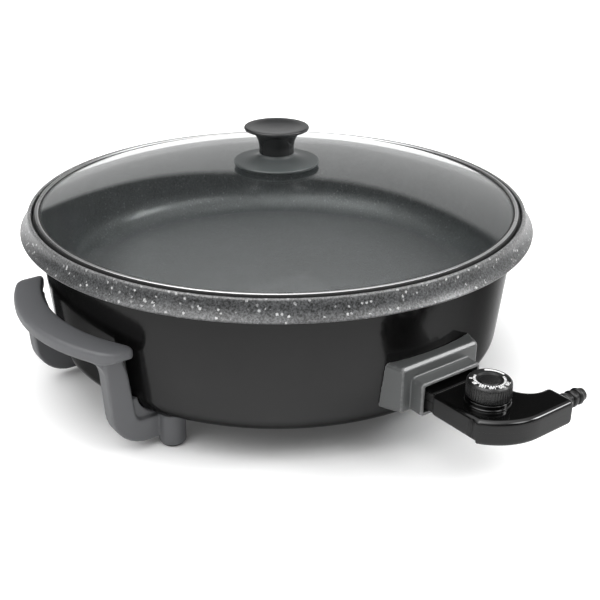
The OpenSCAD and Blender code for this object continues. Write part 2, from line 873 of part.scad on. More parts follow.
module knob_base() {
    edge = 2.4;
    bore = knob_screw_r + slip;
    color("#303234")
        rotate_extrude()
            polygon(concat(
                [[bore, base_z], [flange_r - 1, base_z]],
                arc([flange_r - edge / 2, base_z + edge / 2], edge / 2, -60, 90, 6),
                sweep_in([flange_r - edge / 2, base_z + edge], [stem_r, grip_z]),
                [[grip_spigot + seat_gap, grip_z], [grip_spigot + seat_gap, grip_z - grip_spigot_h],
                    [bore, grip_z - grip_spigot_h]]));
}

// Hollow curve between two points of a revolved profile, flat at the first and steep at the second
function sweep_in(a, b, n = 10) =
    [for (i = [1:n])
        let (w = 90 * i / n)
        [b[0] + (a[0] - b[0]) * (1 - sin(w)), a[1] + (b[1] - a[1]) * (1 - cos(w))]];

module knob_grip() {
    edge = 1.3;
    rim_z = knob_top - 2 * edge;
    dish_z = knob_top - 1.2;
    low = grip_z - grip_spigot_h;
    bore = insert_r + seat_gap;
    bore_top = low + insert_h + slip;
    color("#3c3e40")
        rotate_extrude()
            polygon(concat(
                [[bore, low], [grip_spigot, low], [grip_spigot, grip_z]],
                [[stem_r, grip_z]],
                flip(sweep_in([knob_r - edge, rim_z], [stem_r, grip_z + 4])),
                arc([knob_r - edge, rim_z + edge], edge, -60, 90, 6),
                [[knob_r * 0.6, dish_z], [0, dish_z - 0.4], [0, bore_top], [bore, bore_top]]));
}

module knob_insert() {
    color("darkgoldenrod")
        translate([0, 0, grip_z - grip_spigot_h])
            difference() {
                cylinder(r = insert_r, h = insert_h);
                translate([0, 0, -1])
                    cylinder(r = knob_screw_r + seat_gap, h = insert_h + 2);
            }
}

module knob_screw() {
    seat = under_crown - slip - seal_t - washer_t;
    length = grip_z - grip_spigot_h + insert_h - seat - 1;
    color("silver")
        translate([0, 0, seat])
            screw_up(knob_screw_r, knob_screw_r * 2.2, knob_screw_r * 1.3, length);
}

// A washer below the crown of the glass
module under_washer(z, r, t) {
    translate([0, 0, z])
        difference() {
            cylinder(r = r, h = t);
            translate([0, 0, -1])
                cylinder(r = knob_screw_r + slip, h = t + 2);
        }
}

module knob_washer() {
    color("gainsboro")
        under_washer(under_crown - slip - seal_t - washer_t, washer_r, washer_t);
}

module knob_seal() {
    color("#202020")
        under_washer(under_crown - slip - seal_t, washer_r + 1, seal_t);
}

// Plan outline of the controller body, moved in by d
function case_outline(d) =
    let (start = 360 - acos((d - half_w - sweep_c[0]) / (sweep_r - d)),
         er = end_round)
    concat(
        arc([er - half_w, shoulder_y - er], er - d, 90, 180, 4),
        arc(sweep_c, sweep_r - d, start, 270, 12),
        arc([tail_x - er, tail_front + er], er - d, 270, 360, 4),
        arc([tail_x - er, tail_back - er], er - d, 0, 90, 4),
        arc([half_w + crook_r, tail_back + crook_r], crook_r + d, 270, 180, 8),
        arc([half_w - er, shoulder_y - er], er - d, 0, 90, 4));

function ring_at(z, d) = [for (p = case_outline(d)) [p[0], p[1], z]];

// Half of the plug-in nose, between two heights
module nose_half(z0, z1) {
    translate([-nose_w / 2, shoulder_y - 4, z0])
        cube([nose_w, nose_y - shoulder_y + 4, z1 - z0]);
}

// Hollow of a housing half: body, nose and the holes on the split plane
module case_hollow(z0, z1) {
    translate([0, 0, z0])
        linear_extrude(z1 - z0)
            polygon(case_outline(case_wall));
    translate([case_wall - nose_w / 2, shoulder_y - 8, z0])
        cube([nose_w - 2 * case_wall, nose_y - case_wall - shoulder_y + 8, z1 - z0]);
    for (side = [-1, 1])
        translate([side * pin_x, 0, axis_z])
            rod_y(sleeve_r + seat_gap, nose_y + 1, nose_y - case_wall - 1);
    translate([0, 0, axis_z])
        rod_y(probe_r + seat_gap, nose_y + 1, nose_y - case_wall - 1);
    translate([tail_x + 1, tail_mid, axis_z])
        rotate([0, -90, 0])
            cylinder(r = relief_neck + seat_gap, h = case_wall + 2);
    translate([tail_x - case_wall, tail_mid, axis_z])
        rotate([0, -90, 0])
            cylinder(r = relief_r + seat_gap, h = relief_flange + slip);
}

module columns(z0, z1) {
    for (p = column_spots)
        translate([p[0], p[1], z0])
            cylinder(r = column_r, h = z1 - z0);
}

// Outer form of the lower housing, from a floor level up to the split plane
module case_tub(low) {
    loft([ring_at(low, case_round), ring_at(low + 0.3 * case_round, 0.3 * case_round),
        ring_at(low + case_round, 0), ring_at(axis_z, 0)],
        [0, tail_mid, low], [0, tail_mid, axis_z]);
}

module lower_housing() {
    color("#1b1b1c")
        difference() {
            union() {
                difference() {
                    union() {
                        case_tub(case_low);
                        intersection() {
                            case_tub(case_low - tail_drop);
                            translate([-body_w, tail_front - 1, 0])
                                cube([2 * (body_w + tail_x), corner_y - tail_front + 1, axis_z]);
                        }
                        nose_half(nose_low, axis_z);
                    }
                    case_hollow(nose_low + case_wall, axis_z + 1);
                }
                columns(case_low + case_wall, axis_z);
            }
            for (p = column_spots)
                translate([p[0], p[1], case_low - 1]) {
                    cylinder(r = screw_r + seat_gap, h = body_drop + 2);
                    cylinder(r = case_screw_head + seat_gap, h = case_screw_sink + 1);
                }
        }
}

module upper_housing() {
    color("#161617")
        difference() {
            union() {
                difference() {
                    union() {
                        loft([ring_at(axis_z, 0), ring_at(case_top - case_round, 0),
                            ring_at(case_top - 0.3 * case_round, 0.3 * case_round),
                            ring_at(case_top, case_round)],
                            [0, tail_mid, axis_z], [0, tail_mid, case_top]);
                        nose_half(axis_z, nose_top);
                    }
                    case_hollow(axis_z - 1, nose_top - case_wall);
                }
                columns(axis_z, case_top - case_wall);
                translate([0, dial_c, nose_top - case_wall])
                    cylinder(r = dial_r + 0.4, h = collar_z - nose_top + case_wall);
            }
            translate([0, dial_c, axis_z])
                cylinder(r = shaft_r + run_gap, h = collar_z - axis_z + 1);
            for (p = column_spots)
                translate([p[0], p[1], axis_z - 1])
                    cylinder(r = screw_r + seat_gap, h = body_top - case_wall + 0.5);
        }
}

module housing_screws() {
    seat = case_low + case_screw_sink;
    length = case_top - case_wall - 1.5 - seat;
    color("silver")
        for (p = column_spots)
            translate([p[0], p[1], seat])
                screw_up(screw_r, case_screw_head, case_screw_sink * 0.6, length);
}

module contact_block() {
    low = nose_low + case_wall + seat_gap;
    high = nose_top - case_wall - seat_gap;
    color("saddlebrown")
        difference() {
            translate([-block_w / 2, block_y1, low])
                cube([block_w, block_y0 - block_y1, high - low]);
            for (side = [-1, 1])
                translate([side * pin_x, 0, axis_z])
                    rod_y(sleeve_r + seat_gap, block_y0 + 1, block_y1 - 1);
            translate([0, 0, axis_z])
                rod_y(probe_r + seat_gap, block_y0 + 1, block_y1 - 1);
        }
}

module contact_sleeves() {
    color("goldenrod")
        for (side = [-1, 1])
            translate([side * pin_x, 0, axis_z])
                difference() {
                    rod_y(sleeve_r, nose_y - 1, sleeve_back);
                    rod_y(pin_r + run_gap, nose_y, sleeve_back - 1);
                }
}

module probe_rod() {
    color("silver")
        translate([0, 0, axis_z]) {
            rod_y(probe_r, probe_back, probe_tip - probe_r);
            translate([0, probe_tip - probe_r, 0])
                rotate([90, 0, 0])
                    rotate_extrude()
                        intersection() {
                            circle(r = probe_r);
                            translate([0, -probe_r])
                                square([probe_r, probe_r]);
                        }
        }
}

// Plate on the controller's floor that carries the contacts
module thermostat_frame() {
    low = nose_low + case_wall;
    color("gainsboro")
        difference() {
            translate([-frame_w / 2, dial_c - 12, low])
                cube([frame_w, probe_back - dial_c + 9, frame_t]);
            translate([0, dial_c, low - 1])
                cylinder(r = shaft_r, h = frame_t + 2);
        }
}

// One contact leaf on the stack, with its rivet
module leaf(z, rivet) {
    translate([-leaf_w / 2, dial_c - 10, z])
        cube([leaf_w, probe_back - dial_c + 6, leaf_t]);
    translate([0, dial_c + 3, z + rivet])
        cylinder(r = 1.6, h = 0.6);
}

module fixed_leaf() {
    color("darkgoldenrod")
        difference() {
            leaf(leaf_low, leaf_t);
            leaf_hole();
        }
}

module moving_leaf() {
    color("goldenrod")
        difference() {
            leaf(leaf_high, -0.6);
            leaf_hole();
        }
}

module leaf_hole() {
    translate([0, probe_back - 6.5, axis_z - body_drop])
        cylinder(r = 1.2 + seat_gap, h = body_drop + body_top);
}

module leaf_stack() {
    low = nose_low + case_wall + frame_t;
    color("ivory")
        translate([0, probe_back - 6.5, 0]) {
            translate([0, 0, low])
                cylinder(r = stack_r, h = leaf_low - low);
            translate([0, 0, leaf_low])
                cylinder(r = 1.2, h = leaf_high - leaf_low);
            translate([0, 0, leaf_low + leaf_t])
                cylinder(r = stack_r, h = leaf_high - leaf_low - leaf_t);
            translate([0, 0, leaf_high])
                cylinder(r = 1.2, h = leaf_t + 1.5);
        }
}

module strain_relief() {
    ribs = 3;
    neck = relief_neck;
    inner_end = -case_wall - relief_flange;
    pitch = relief_len / (ribs + 0.5);
    rib_pts = [for (i = [0:ribs - 1]) each
        [[neck, (i + 0.25) * pitch], [relief_r, (i + 0.4) * pitch], [relief_r, (i + 0.85) * pitch],
            [neck, (i + 1) * pitch]]];
    color("#141414")
        translate([tail_x, tail_mid, axis_z])
            rotate([0, 90, 0])
                rotate_extrude()
                    polygon(concat(
                        [[lead_r, inner_end], [relief_r, inner_end],
                            [relief_r, -case_wall - seat_gap], [neck, -case_wall - seat_gap]],
                        rib_pts,
                        arc([neck - 1, relief_len - 1], 1, 0, 90, 4),
                        [[lead_r, relief_len]]));
}

module dial() {
    grips = 24;
    ring_in = dial_r * 0.6;
    color("#202022")
        translate([0, dial_c, 0])
            difference() {
                translate([0, 0, dial_z])
                    rotate_extrude()
                        polygon([[0, 0], [dial_r, 0], [dial_r, dial_h - 2], [dial_r - 1.4, dial_h],
                            [ring_in, dial_h - 0.6], [ring_in - 0.6, dial_h - 1.6], [0, dial_h - 1.6]]);
                translate([0, 0, dial_z - 1])
                    cylinder(r = shaft_r + seat_gap, h = dial_h * 0.6 + 1);
                for (i = [0:grips - 1])
                    rotate([0, 0, 360 * i / grips])
                        translate([dial_r + 0.5, 0, dial_z + 2])
                            cylinder(r = 0.9, h = dial_h, $fn = 16);
            }
}

module dial_shaft() {
    color("silver")
        translate([0, dial_c, shaft_low])
            cylinder(r = shaft_r, h = dial_z + dial_h * 0.6 - seat_gap - shaft_low);
}

module shaft_clip() {
    color("gray")
        translate([0, dial_c, nose_top - case_wall - slip - clip_ring_t])
            difference() {
                cylinder(r = shaft_r + 2.4, h = clip_ring_t);
                translate([0, 0, -1])
                    cylinder(r = shaft_r + run_gap / 2, h = clip_ring_t + 2);
            }
}

pan();
base_shell();
spacer_posts();
post_screws();
heating_element();
element_clips();
clip_screws();
probe_sleeve();
terminal_pins();
insulator_bushes();
terminal_plate();
socket_guard();
guard_screws();
left_handle();
right_handle();
handle_screws();
foot_pads();
lid_glass();
lid_rim();
knob_gasket();
knob_base();
knob_grip();
knob_insert();
knob_screw();
knob_washer();
knob_seal();
lower_housing();
upper_housing();
housing_screws();
contact_block();
contact_sleeves();
probe_rod();
thermostat_frame();
fixed_leaf();
moving_leaf();
leaf_stack();
strain_relief();
dial();
dial_shaft();
shaft_clip();
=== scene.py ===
import bpy
import bmesh
import json
import math
from mathutils import Matrix, Vector


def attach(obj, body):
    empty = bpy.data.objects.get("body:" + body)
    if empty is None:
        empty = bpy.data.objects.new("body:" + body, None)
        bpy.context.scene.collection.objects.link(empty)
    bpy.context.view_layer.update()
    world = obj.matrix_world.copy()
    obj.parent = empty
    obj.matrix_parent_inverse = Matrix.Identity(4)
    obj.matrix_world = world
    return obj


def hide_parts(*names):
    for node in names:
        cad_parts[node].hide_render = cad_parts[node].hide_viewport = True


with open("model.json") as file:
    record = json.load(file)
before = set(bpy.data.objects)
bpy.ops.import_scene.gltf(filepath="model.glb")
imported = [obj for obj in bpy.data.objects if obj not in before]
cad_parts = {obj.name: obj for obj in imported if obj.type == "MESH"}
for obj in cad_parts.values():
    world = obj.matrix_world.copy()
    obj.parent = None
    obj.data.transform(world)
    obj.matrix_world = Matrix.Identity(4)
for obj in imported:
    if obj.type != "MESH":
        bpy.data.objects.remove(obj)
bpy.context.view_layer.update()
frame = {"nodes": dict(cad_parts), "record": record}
scene = bpy.context.scene
scene.view_settings.view_transform = "Standard"
milli = 0.001
tiny = 1e-6
weld = 1e-7  # points closer than this, in metres, become one
past = 1  # how far a cut runs on past a face
roundSteps = 216  # sides of the large turned pieces


def newObject(name, data):
    obj = bpy.data.objects.new(name, data)
    scene.collection.objects.link(obj)
    return obj


# camera, at the photograph's angle
photoView = {"place": (-0.4304, -0.5990, 0.3929), "turn": (1.1308, 0.0, -0.6231), "lens": 58.56,
             "sensor": 36, "shiftX": 0.039}
camData = bpy.data.cameras.new("photoCamera")
camData.lens = photoView["lens"]
camData.sensor_width = photoView["sensor"]
camData.shift_x = photoView["shiftX"]
camera = newObject("photoCamera", camData)
camera.location = photoView["place"]
camera.rotation_euler = photoView["turn"]
scene.camera = camera

# sizes in millimetres, the same as the solids have
pan = {"rimR": 200, "rimH": 137, "floorH": 68, "wall": 3, "base": 4, "draft": 8, "corner": 24, "lipH": 5,
       "lipW": 3, "lipRound": 0.48, "ledgeW": 8, "bandH": 13, "bandFlare": 6.5, "bandT": 2.6, "bandBow": 1.8,
       "soft": 1.4}
lipOut = pan["rimR"] - pan["bandFlare"]
lipIn = lipOut - pan["lipW"]
ledgeZ = pan["rimH"] - pan["lipH"]
ledgeUnder = ledgeZ - pan["wall"]
panIn = lipIn - pan["ledgeW"]
panOut = panIn + pan["wall"]
floorUnder = pan["floorH"] - pan["base"]

shell = {"low": 26.4, "wall": 1.6, "gap": 0.5, "draft": 9.5, "corner": 17, "windowW": 42, "windowH": 15,
         "windowIn": 100, "axisDrop": 8.5}
shellTopR = panOut + shell["gap"] + shell["wall"]
axisZ = floorUnder - shell["axisDrop"]


def shellRadius(z):
    return shellTopR - shell["draft"] / (ledgeUnder - shell["low"]) * (ledgeUnder - z)


guard = {"out": 11, "wall": 2.5, "mouthLen": 11, "top": 22, "mouthTop": 13, "mouthW": 54, "slope": 2.2,
         "mouthSlope": 1.1, "slopeHalf": 60, "fillet": 1.2, "filletIn": 1}
guardY = -(shellRadius(axisZ) + guard["out"])
mouthY = guardY - guard["mouthLen"]

case = {"bodyW": 48, "noseW": 44, "top": 8, "drop": 8.5, "wall": 2.2, "shoulderGap": 4.5, "dialY": 28,
        "tailY": 33.5, "tailX": 47, "tailW": 22.5, "tailDrop": 1.8, "sweepR": 46.5, "sweepPast": 8.5,
        "crookR": 16, "round": 3.6, "endRound": 4, "split": 0.03, "smooth": 50,
        "noseGap": 0.3, "noseStep": 1, "noseRoot": 4, "noseRound": 0.6, "throatRoot": 8, "throatIn": 0.01,
        "noseHoles": ((-14, 4.31), (0, 3.35), (14, 4.31)), "tailHole": 4.95, "tailHoleLen": 4,
        "tailSeat": 6.15, "tailSeatLen": 2.8, "notchR": 2.6, "notchIn": 1.1, "notchY": 5, "notchUnder": 5,
        "trimX": (-60, 90), "trimH": 120}
noseY = guardY + guard["wall"] - case["noseGap"]
shoulderY = mouthY - case["shoulderGap"]
dialY = shoulderY - case["dialY"]
tailFront = dialY - case["tailY"]
tailBack = tailFront + case["tailW"]
tailMid = tailFront + case["tailW"] / 2
caseTop = axisZ + case["top"]
caseLow = axisZ - case["drop"]
noseTop = caseTop - case["noseStep"]
noseLow = caseLow + case["noseStep"]
halfW = case["bodyW"] / 2
sweepC = (case["sweepR"] - halfW - case["sweepPast"], tailFront + case["sweepR"])
cornerY = sweepC[1] - math.sqrt(case["sweepR"] ** 2 - (halfW + sweepC[0]) ** 2)


# node helpers
def setInputs(tree, node, inputs):
    for key, value in inputs.items():
        if isinstance(value, bpy.types.NodeSocket):
            tree.links.new(value, node.inputs[key])
        else:
            node.inputs[key].default_value = value


def makeNode(tree, kind, inputs=None, **settings):
    node = tree.nodes.new(kind)
    for key, value in settings.items():
        setattr(node, key, value)
    setInputs(tree, node, inputs or {})
    return node


def nodeOut(tree, kind, inputs=None, output=0, **settings):
    return makeNode(tree, kind, inputs, **settings).outputs[output]


def mathNode(tree, operation, a, b=0.0, clamp=False):
    return nodeOut(tree, "ShaderNodeMath", {0: a, 1: b}, operation=operation, use_clamp=clamp)


def times(tree, a, b):
    return mathNode(tree, "MULTIPLY", a, b)


def plus(tree, a, b):
    return mathNode(tree, "ADD", a, b)


def mixColor(tree, factor, a, b, blend="MIX"):
    return nodeOut(tree, "ShaderNodeMix", {0: factor, 6: a, 7: b}, 2, data_type="RGBA", blend_type=blend)


def ramp(tree, factor, stops):
    return nodeOut(tree, "ShaderNodeMapRange", {"Value": factor, "From Min": stops[0], "From Max": stops[1],
                                                "To Min": stops[2], "To Max": stops[3]})


def noise(tree, vector, scale, detail, rough=0.5):
    return nodeOut(tree, "ShaderNodeTexNoise", {"Vector": vector, "Scale": scale, "Detail": detail,
                                                "Roughness": rough})


def lengthOf(tree, vector):
    return nodeOut(tree, "ShaderNodeVectorMath", {0: vector}, "Value", operation="LENGTH")


def heightRamp(tree, place, stops, values):
    z = nodeOut(tree, "ShaderNodeSeparateXYZ", {"Vector": place}, 2)
    return ramp(tree, z, (stops[0] * milli, stops[1] * milli, *values))


def startTree(name, kind, inputs, outputs):
    tree = bpy.data.node_groups.new(name, kind + "NodeTree")
    for label, sort, value in inputs:
        socket = tree.interface.new_socket(label, in_out="INPUT", socket_type="NodeSocket" + sort)
        if value is not None:
            socket.default_value = value
    for label, sort in outputs:
        tree.interface.new_socket(label, in_out="OUTPUT", socket_type="NodeSocket" + sort)
    return tree, tree.nodes.new("NodeGroupInput").outputs, tree.nodes.new("NodeGroupOutput")


def grey(value, tint=(1, 1, 1)):
    return (value * tint[0], value * tint[1], value * tint[2], 1)


# a color made lighter or darker from point to point
def toned(tree, color, lift):
    vary = nodeOut(tree, "ShaderNodeCombineColor", {0: lift, 1: lift, 2: lift})
    return mixColor(tree, 1.0, color, vary, "MULTIPLY")


# round spots, with a lot drawn for each
def spots(tree, vector, scale, reach):
    cells = makeNode(tree, "ShaderNodeTexVoronoi", {"Vector": vector, "Scale": scale}).outputs
    lots = makeNode(tree, "ShaderNodeSeparateColor", {"Color": cells["Color"]}).outputs
    return ramp(tree, cells["Distance"], (*reach, 1.0, 0.0)), lots


surfaceOutputs = [("Color", "Color"), ("Height", "Float"), ("Polish", "Float")]
drawnStreak = (40.0, 40.0, 2600.0)


# speckled coat: fine salt and pepper, flecks of both tones, a few larger white dots
def buildSpeckle():
    tree, given, put = startTree(
        "speckleCoat", "Shader",
        [("Vector", "Vector", None), ("Dark", "Color", grey(0.04)), ("Light", "Color", grey(0.2)),
         ("Fleck", "Color", grey(0.75)), ("Fine Scale", "Float", 700.0), ("Fleck Scale", "Float", 370.0),
         ("Dot Scale", "Float", 150.0), ("Fleck Share", "Float", 1.0)],
        [("Color", "Color"), ("Height", "Float"), ("Fleck Mask", "Float")])
    place = given["Vector"]
    fine = noise(tree, place, given["Fine Scale"], 4.0, 0.7)
    cloud = noise(tree, place, 60.0, 2.0)
    tone = mathNode(tree, "ADD", ramp(tree, fine, (0.39, 0.63, 0.0, 0.9)),
                    ramp(tree, cloud, (0.3, 0.7, -0.1, 0.12)), clamp=True)
    base = mixColor(tree, tone, given["Dark"], given["Light"])
    shift = 0.0016  # makes the spots ragged
    ragged = nodeOut(tree, "ShaderNodeTexNoise", {"Vector": place, "Scale": 900.0, "Detail": 1.0}, "Color")
    moved = nodeOut(tree, "ShaderNodeVectorMath", {0: ragged, 1: (shift, shift, shift), 2: place},
                    operation="MULTIPLY_ADD")
    near, lots = spots(tree, moved, given["Fleck Scale"], (0.24, 0.4))
    pale = times(tree, near, ramp(tree, lots[0], (0.76, 0.95, 0.0, 0.75)))
    black = times(tree, near, ramp(tree, lots[1], (0.66, 0.74, 0.0, 0.9)))
    nearDot, dotLots = spots(tree, moved, given["Dot Scale"], (0.03, 0.1))
    dot = times(tree, nearDot, ramp(tree, dotLots[2], (0.89, 0.99, 0.0, 0.68)))
    marks = times(tree, mathNode(tree, "MAXIMUM", pale, dot), given["Fleck Share"])
    withBlack = mixColor(tree, black, base, grey(0.008))
    setInputs(tree, put, {"Color": mixColor(tree, marks, withBlack, given["Fleck"]),
                          "Height": plus(tree, fine, times(tree, marks, 0.5)), "Fleck Mask": marks})
    return tree


# moulded plastic: fine grain, slow tone change over the piece
def buildGrain():
    tree, given, put = startTree(
        "mouldGrain", "Shader",
        [("Vector", "Vector", None), ("Scale", "Float", 1500.0), ("Color", "Color", grey(0.1)),
         ("Tone Swing", "Float", 0.12)], surfaceOutputs)
    place = given["Vector"]
    fine = noise(tree, place, given["Scale"], 3.0)
    pits = nodeOut(tree, "ShaderNodeTexVoronoi", {"Vector": place, "Scale": given["Scale"]}, "Distance")
    slow = noise(tree, place, 22.0, 2.0)
    swing = times(tree, mathNode(tree, "SUBTRACT", slow, 0.5), given["Tone Swing"])
    lift = plus(tree, times(tree, fine, 0.12), plus(tree, swing, 0.94))
    setInputs(tree, put, {"Color": toned(tree, given["Color"], lift), "Height": plus(tree, fine, pits),
                          "Polish": plus(tree, swing, times(tree, fine, 0.1))})
    return tree


# rubbed edges and painted edge highlights, lighter where the surface turns sharply
def buildEdgeRubAndSheen():
    tree, given, put = startTree("edgeRubAndSheen", "Shader", [("Vector", "Vector", None), ("Reach", "Float", 0.05)],
                                 [("Mask", "Float")])
    bend = nodeOut(tree, "ShaderNodeNewGeometry", None, "Pointiness")
    patches = noise(tree, given["Vector"], 300.0, 3.0)
    start = plus(tree, times(tree, patches, 0.02), 0.5)
    over = mathNode(tree, "SUBTRACT", bend, start)
    setInputs(tree, put, {"Mask": mathNode(tree, "DIVIDE", over, given["Reach"], clamp=True)})
    return tree


# turned or drawn metal: streaks round the part's axis
def buildStreaks():
    tree, given, put = startTree(
        "metalStreaks", "Shader",
        [("Vector", "Vector", None), ("Streak", "Vector", drawnStreak), ("Color", "Color", grey(0.6))],
        surfaceOutputs)
    stretch = nodeOut(tree, "ShaderNodeMapping", {"Vector": given["Vector"], "Scale": given["Streak"]})
    lines = noise(tree, stretch, 1.0, 3.0)
    smear = noise(tree, given["Vector"], 35.0, 3.0)
    lift = plus(tree, times(tree, lines, 0.24), 0.86)
    setInputs(tree, put, {"Color": toned(tree, given["Color"], lift), "Height": lines,
                          "Polish": plus(tree, times(tree, lines, 0.12), times(tree, smear, 0.1))})
    return tree


speckleCoat = buildSpeckle()
mouldGrain = buildGrain()
edgeRubAndSheen = buildEdgeRubAndSheen()
metalStreaks = buildStreaks()


def startMaterial(name):
    mat = bpy.data.materials.new(name)
    mat.use_nodes = True
    tree = mat.node_tree
    place = tree.nodes.new("ShaderNodeTexCoord").outputs["Object"]
    return mat, tree, place, tree.nodes["Principled BSDF"]


def useGroup(tree, groupTree, inputs):
    return makeNode(tree, "ShaderNodeGroup", inputs, node_tree=groupTree).outputs


def useGrain(tree, place, scale, color, swing):
    return useGroup(tree, mouldGrain, {"Vector": place, "Scale": scale, "Color": color, "Tone Swing": swing})


def bump(tree, height, strength, depth):
    return nodeOut(tree, "ShaderNodeBump", {"Strength": strength, "Distance": depth, "Height": height})


def plasticMaterial(name, color, rough, scale=1500.0, depth=0.00004, swing=0.12, rubAndSheen=None):
    mat, tree, place, bsdf = startMaterial(name)
    grain = useGrain(tree, place, scale, color, swing)
    finish = grain["Color"]
    if rubAndSheen:
        # painted highlight along sharp edges, which also stands for rubbed wear
        mask = useGroup(tree, edgeRubAndSheen, {"Vector": place, "Reach": rubAndSheen["reach"]})["Mask"]
        finish = mixColor(tree, times(tree, mask, rubAndSheen["share"]), finish, rubAndSheen["color"])
    setInputs(tree, bsdf, {"Base Color": finish, "Roughness": plus(tree, grain["Polish"], rough - 0.05),
                           "Normal": bump(tree, grain["Height"], 0.35, depth)})
    return mat


def metalMaterial(name, color, rough, streak=drawnStreak, depth=0.00002):
    mat, tree, place, bsdf = startMaterial(name)
    marks = useGroup(tree, metalStreaks, {"Vector": place, "Streak": streak, "Color": color})
    setInputs(tree, bsdf, {"Base Color": marks["Color"], "Metallic": 1.0,
                           "Roughness": plus(tree, marks["Polish"], rough - 0.1),
                           "Normal": bump(tree, marks["Height"], 0.25, depth)})
    return mat


def graniteMaterial():
    mat, tree, place, bsdf = startMaterial("graniteCoat")
    cool = (0.97, 1, 1.03)
    flat = nodeOut(tree, "ShaderNodeVectorMath", {0: place, 1: (1, 1, 0)}, operation="MULTIPLY")
    away = lengthOf(tree, flat)
    ledge = (panIn * milli, lipIn * milli)
    share = ramp(tree, away, (*ledge, 0.35, 1.0))
    calm = ramp(tree, away, (*ledge, 0.6, 0.0))  # worn smoother inside
    coat = useGroup(tree, speckleCoat, {"Vector": place, "Dark": grey(0.012), "Light": grey(0.12, cool),
                                        "Fleck": grey(0.7), "Fleck Share": share})
    # painted highlight: the lip and the toe of the band made lighter in patches, where the light would catch
    # them
    toeZ = pan["rimH"] - pan["bandH"]
    lipHighlight = heightRamp(tree, place, (pan["rimH"] - 1.5, pan["rimH"] - 0.3), (0.0, 1.0))
    toeHighlight = heightRamp(tree, place, (toeZ + 5, toeZ + 0.8), (0.0, 0.25))
    outside = ramp(tree, away, (lipIn * milli, (lipIn + 0.2) * milli, 0.0, 0.55))
    patchy = ramp(tree, coat["Height"], (0.4, 0.6, 0.4, 1.0))
    lipToeHighlight = times(tree, mathNode(tree, "MAXIMUM", lipHighlight, toeHighlight), times(tree, outside, patchy))
    worn = mixColor(tree, calm, coat["Color"], grey(0.06, cool))
    setInputs(tree, bsdf, {"Base Color": mixColor(tree, lipToeHighlight, worn, grey(0.36)),
                           "Roughness": ramp(tree, coat["Fleck Mask"], (0.0, 1.0, 0.34, 0.46)),
                           "Coat Weight": 0.28, "Coat Roughness": 0.22,
                           "Normal": bump(tree, coat["Height"], 0.4, 0.00008)})
    return mat


# baked metallic paint, with painted shade that makes it darker towards the top
def enamelMaterial():
    mat, tree, place, bsdf = startMaterial("blackEnamel")
    grain = useGrain(tree, place, 420.0, grey(0.043), 0.2)
    # painted shade: this mask darkens the paint towards the top and leaves it lighter low down, where the
    # floor's light reflects
    baked = heightRamp(tree, place, (shell["low"] + 15, ledgeUnder), (0.0, 0.75))
    setInputs(tree, bsdf, {"Base Color": mixColor(tree, baked, grain["Color"], grey(0.022)),
                           "Roughness": plus(tree, grain["Polish"], 0.1), "Metallic": 0.86,
                           "Specular Tint": grey(0.4), "Specular IOR Level": 0.04,
                           "Normal": bump(tree, grain["Height"], 0.22, 0.00005)})
    return mat


# glossy top, satin sides
def caseMaterial(look):
    mat, tree, place, bsdf = startMaterial("caseBlack")
    fade = (caseTop - look["fadeLow"], caseTop - look["fadeHigh"])
    glossy = heightRamp(tree, place, fade, (0.0, 1.0))
    satin = mathNode(tree, "SUBTRACT", 1.0, glossy)
    grain = useGrain(tree, place, 1600.0, look["side"], 0.1)
    sideRough = times(tree, satin, plus(tree, grain["Polish"], look["sideRough"]))
    setInputs(tree, bsdf, {"Base Color": mixColor(tree, glossy, grain["Color"], look["top"]),
                           "Roughness": plus(tree, sideRough, look["topRough"]),
                           "Coat Weight": times(tree, glossy, look["coat"]), "Coat Roughness": 0.06,
                           "Specular IOR Level": 0.3,
                           "Normal": bump(tree, times(tree, grain["Height"], satin), 0.3, 0.00003)})
    return mat


def glassMaterial():
    mat, tree, place, bsdf = startMaterial("clearGlass")
    smear = noise(tree, place, 14.0, 4.0)
    setInputs(tree, bsdf, {"Base Color": (0.96, 0.985, 0.98, 1), "Transmission Weight": 1.0, "IOR": 1.45,
                           "Roughness": ramp(tree, smear, (0.35, 0.75, 0.0, 0.035))})
    rays = tree.nodes.new("ShaderNodeLightPath").outputs
    passing = mathNode(tree, "MAXIMUM", rays["Is Shadow Ray"], rays["Is Diffuse Ray"])
    clear = nodeOut(tree, "ShaderNodeBsdfTransparent", {"Color": (0.93, 0.95, 0.95, 1)})
    both = nodeOut(tree, "ShaderNodeMixShader", {0: passing, 1: bsdf.outputs[0], 2: clear})
    setInputs(tree, tree.nodes["Material Output"], {"Surface": both})
    return mat


def paintMaterial():
    mat, tree, place, bsdf = startMaterial("dialPrint")
    worn = ramp(tree, noise(tree, place, 900.0, 3.0), (0.3, 0.7, 0.0, 1.0))
    setInputs(tree, bsdf, {"Base Color": mixColor(tree, worn, grey(0.74), grey(0.9)), "Roughness": 0.45})
    return mat


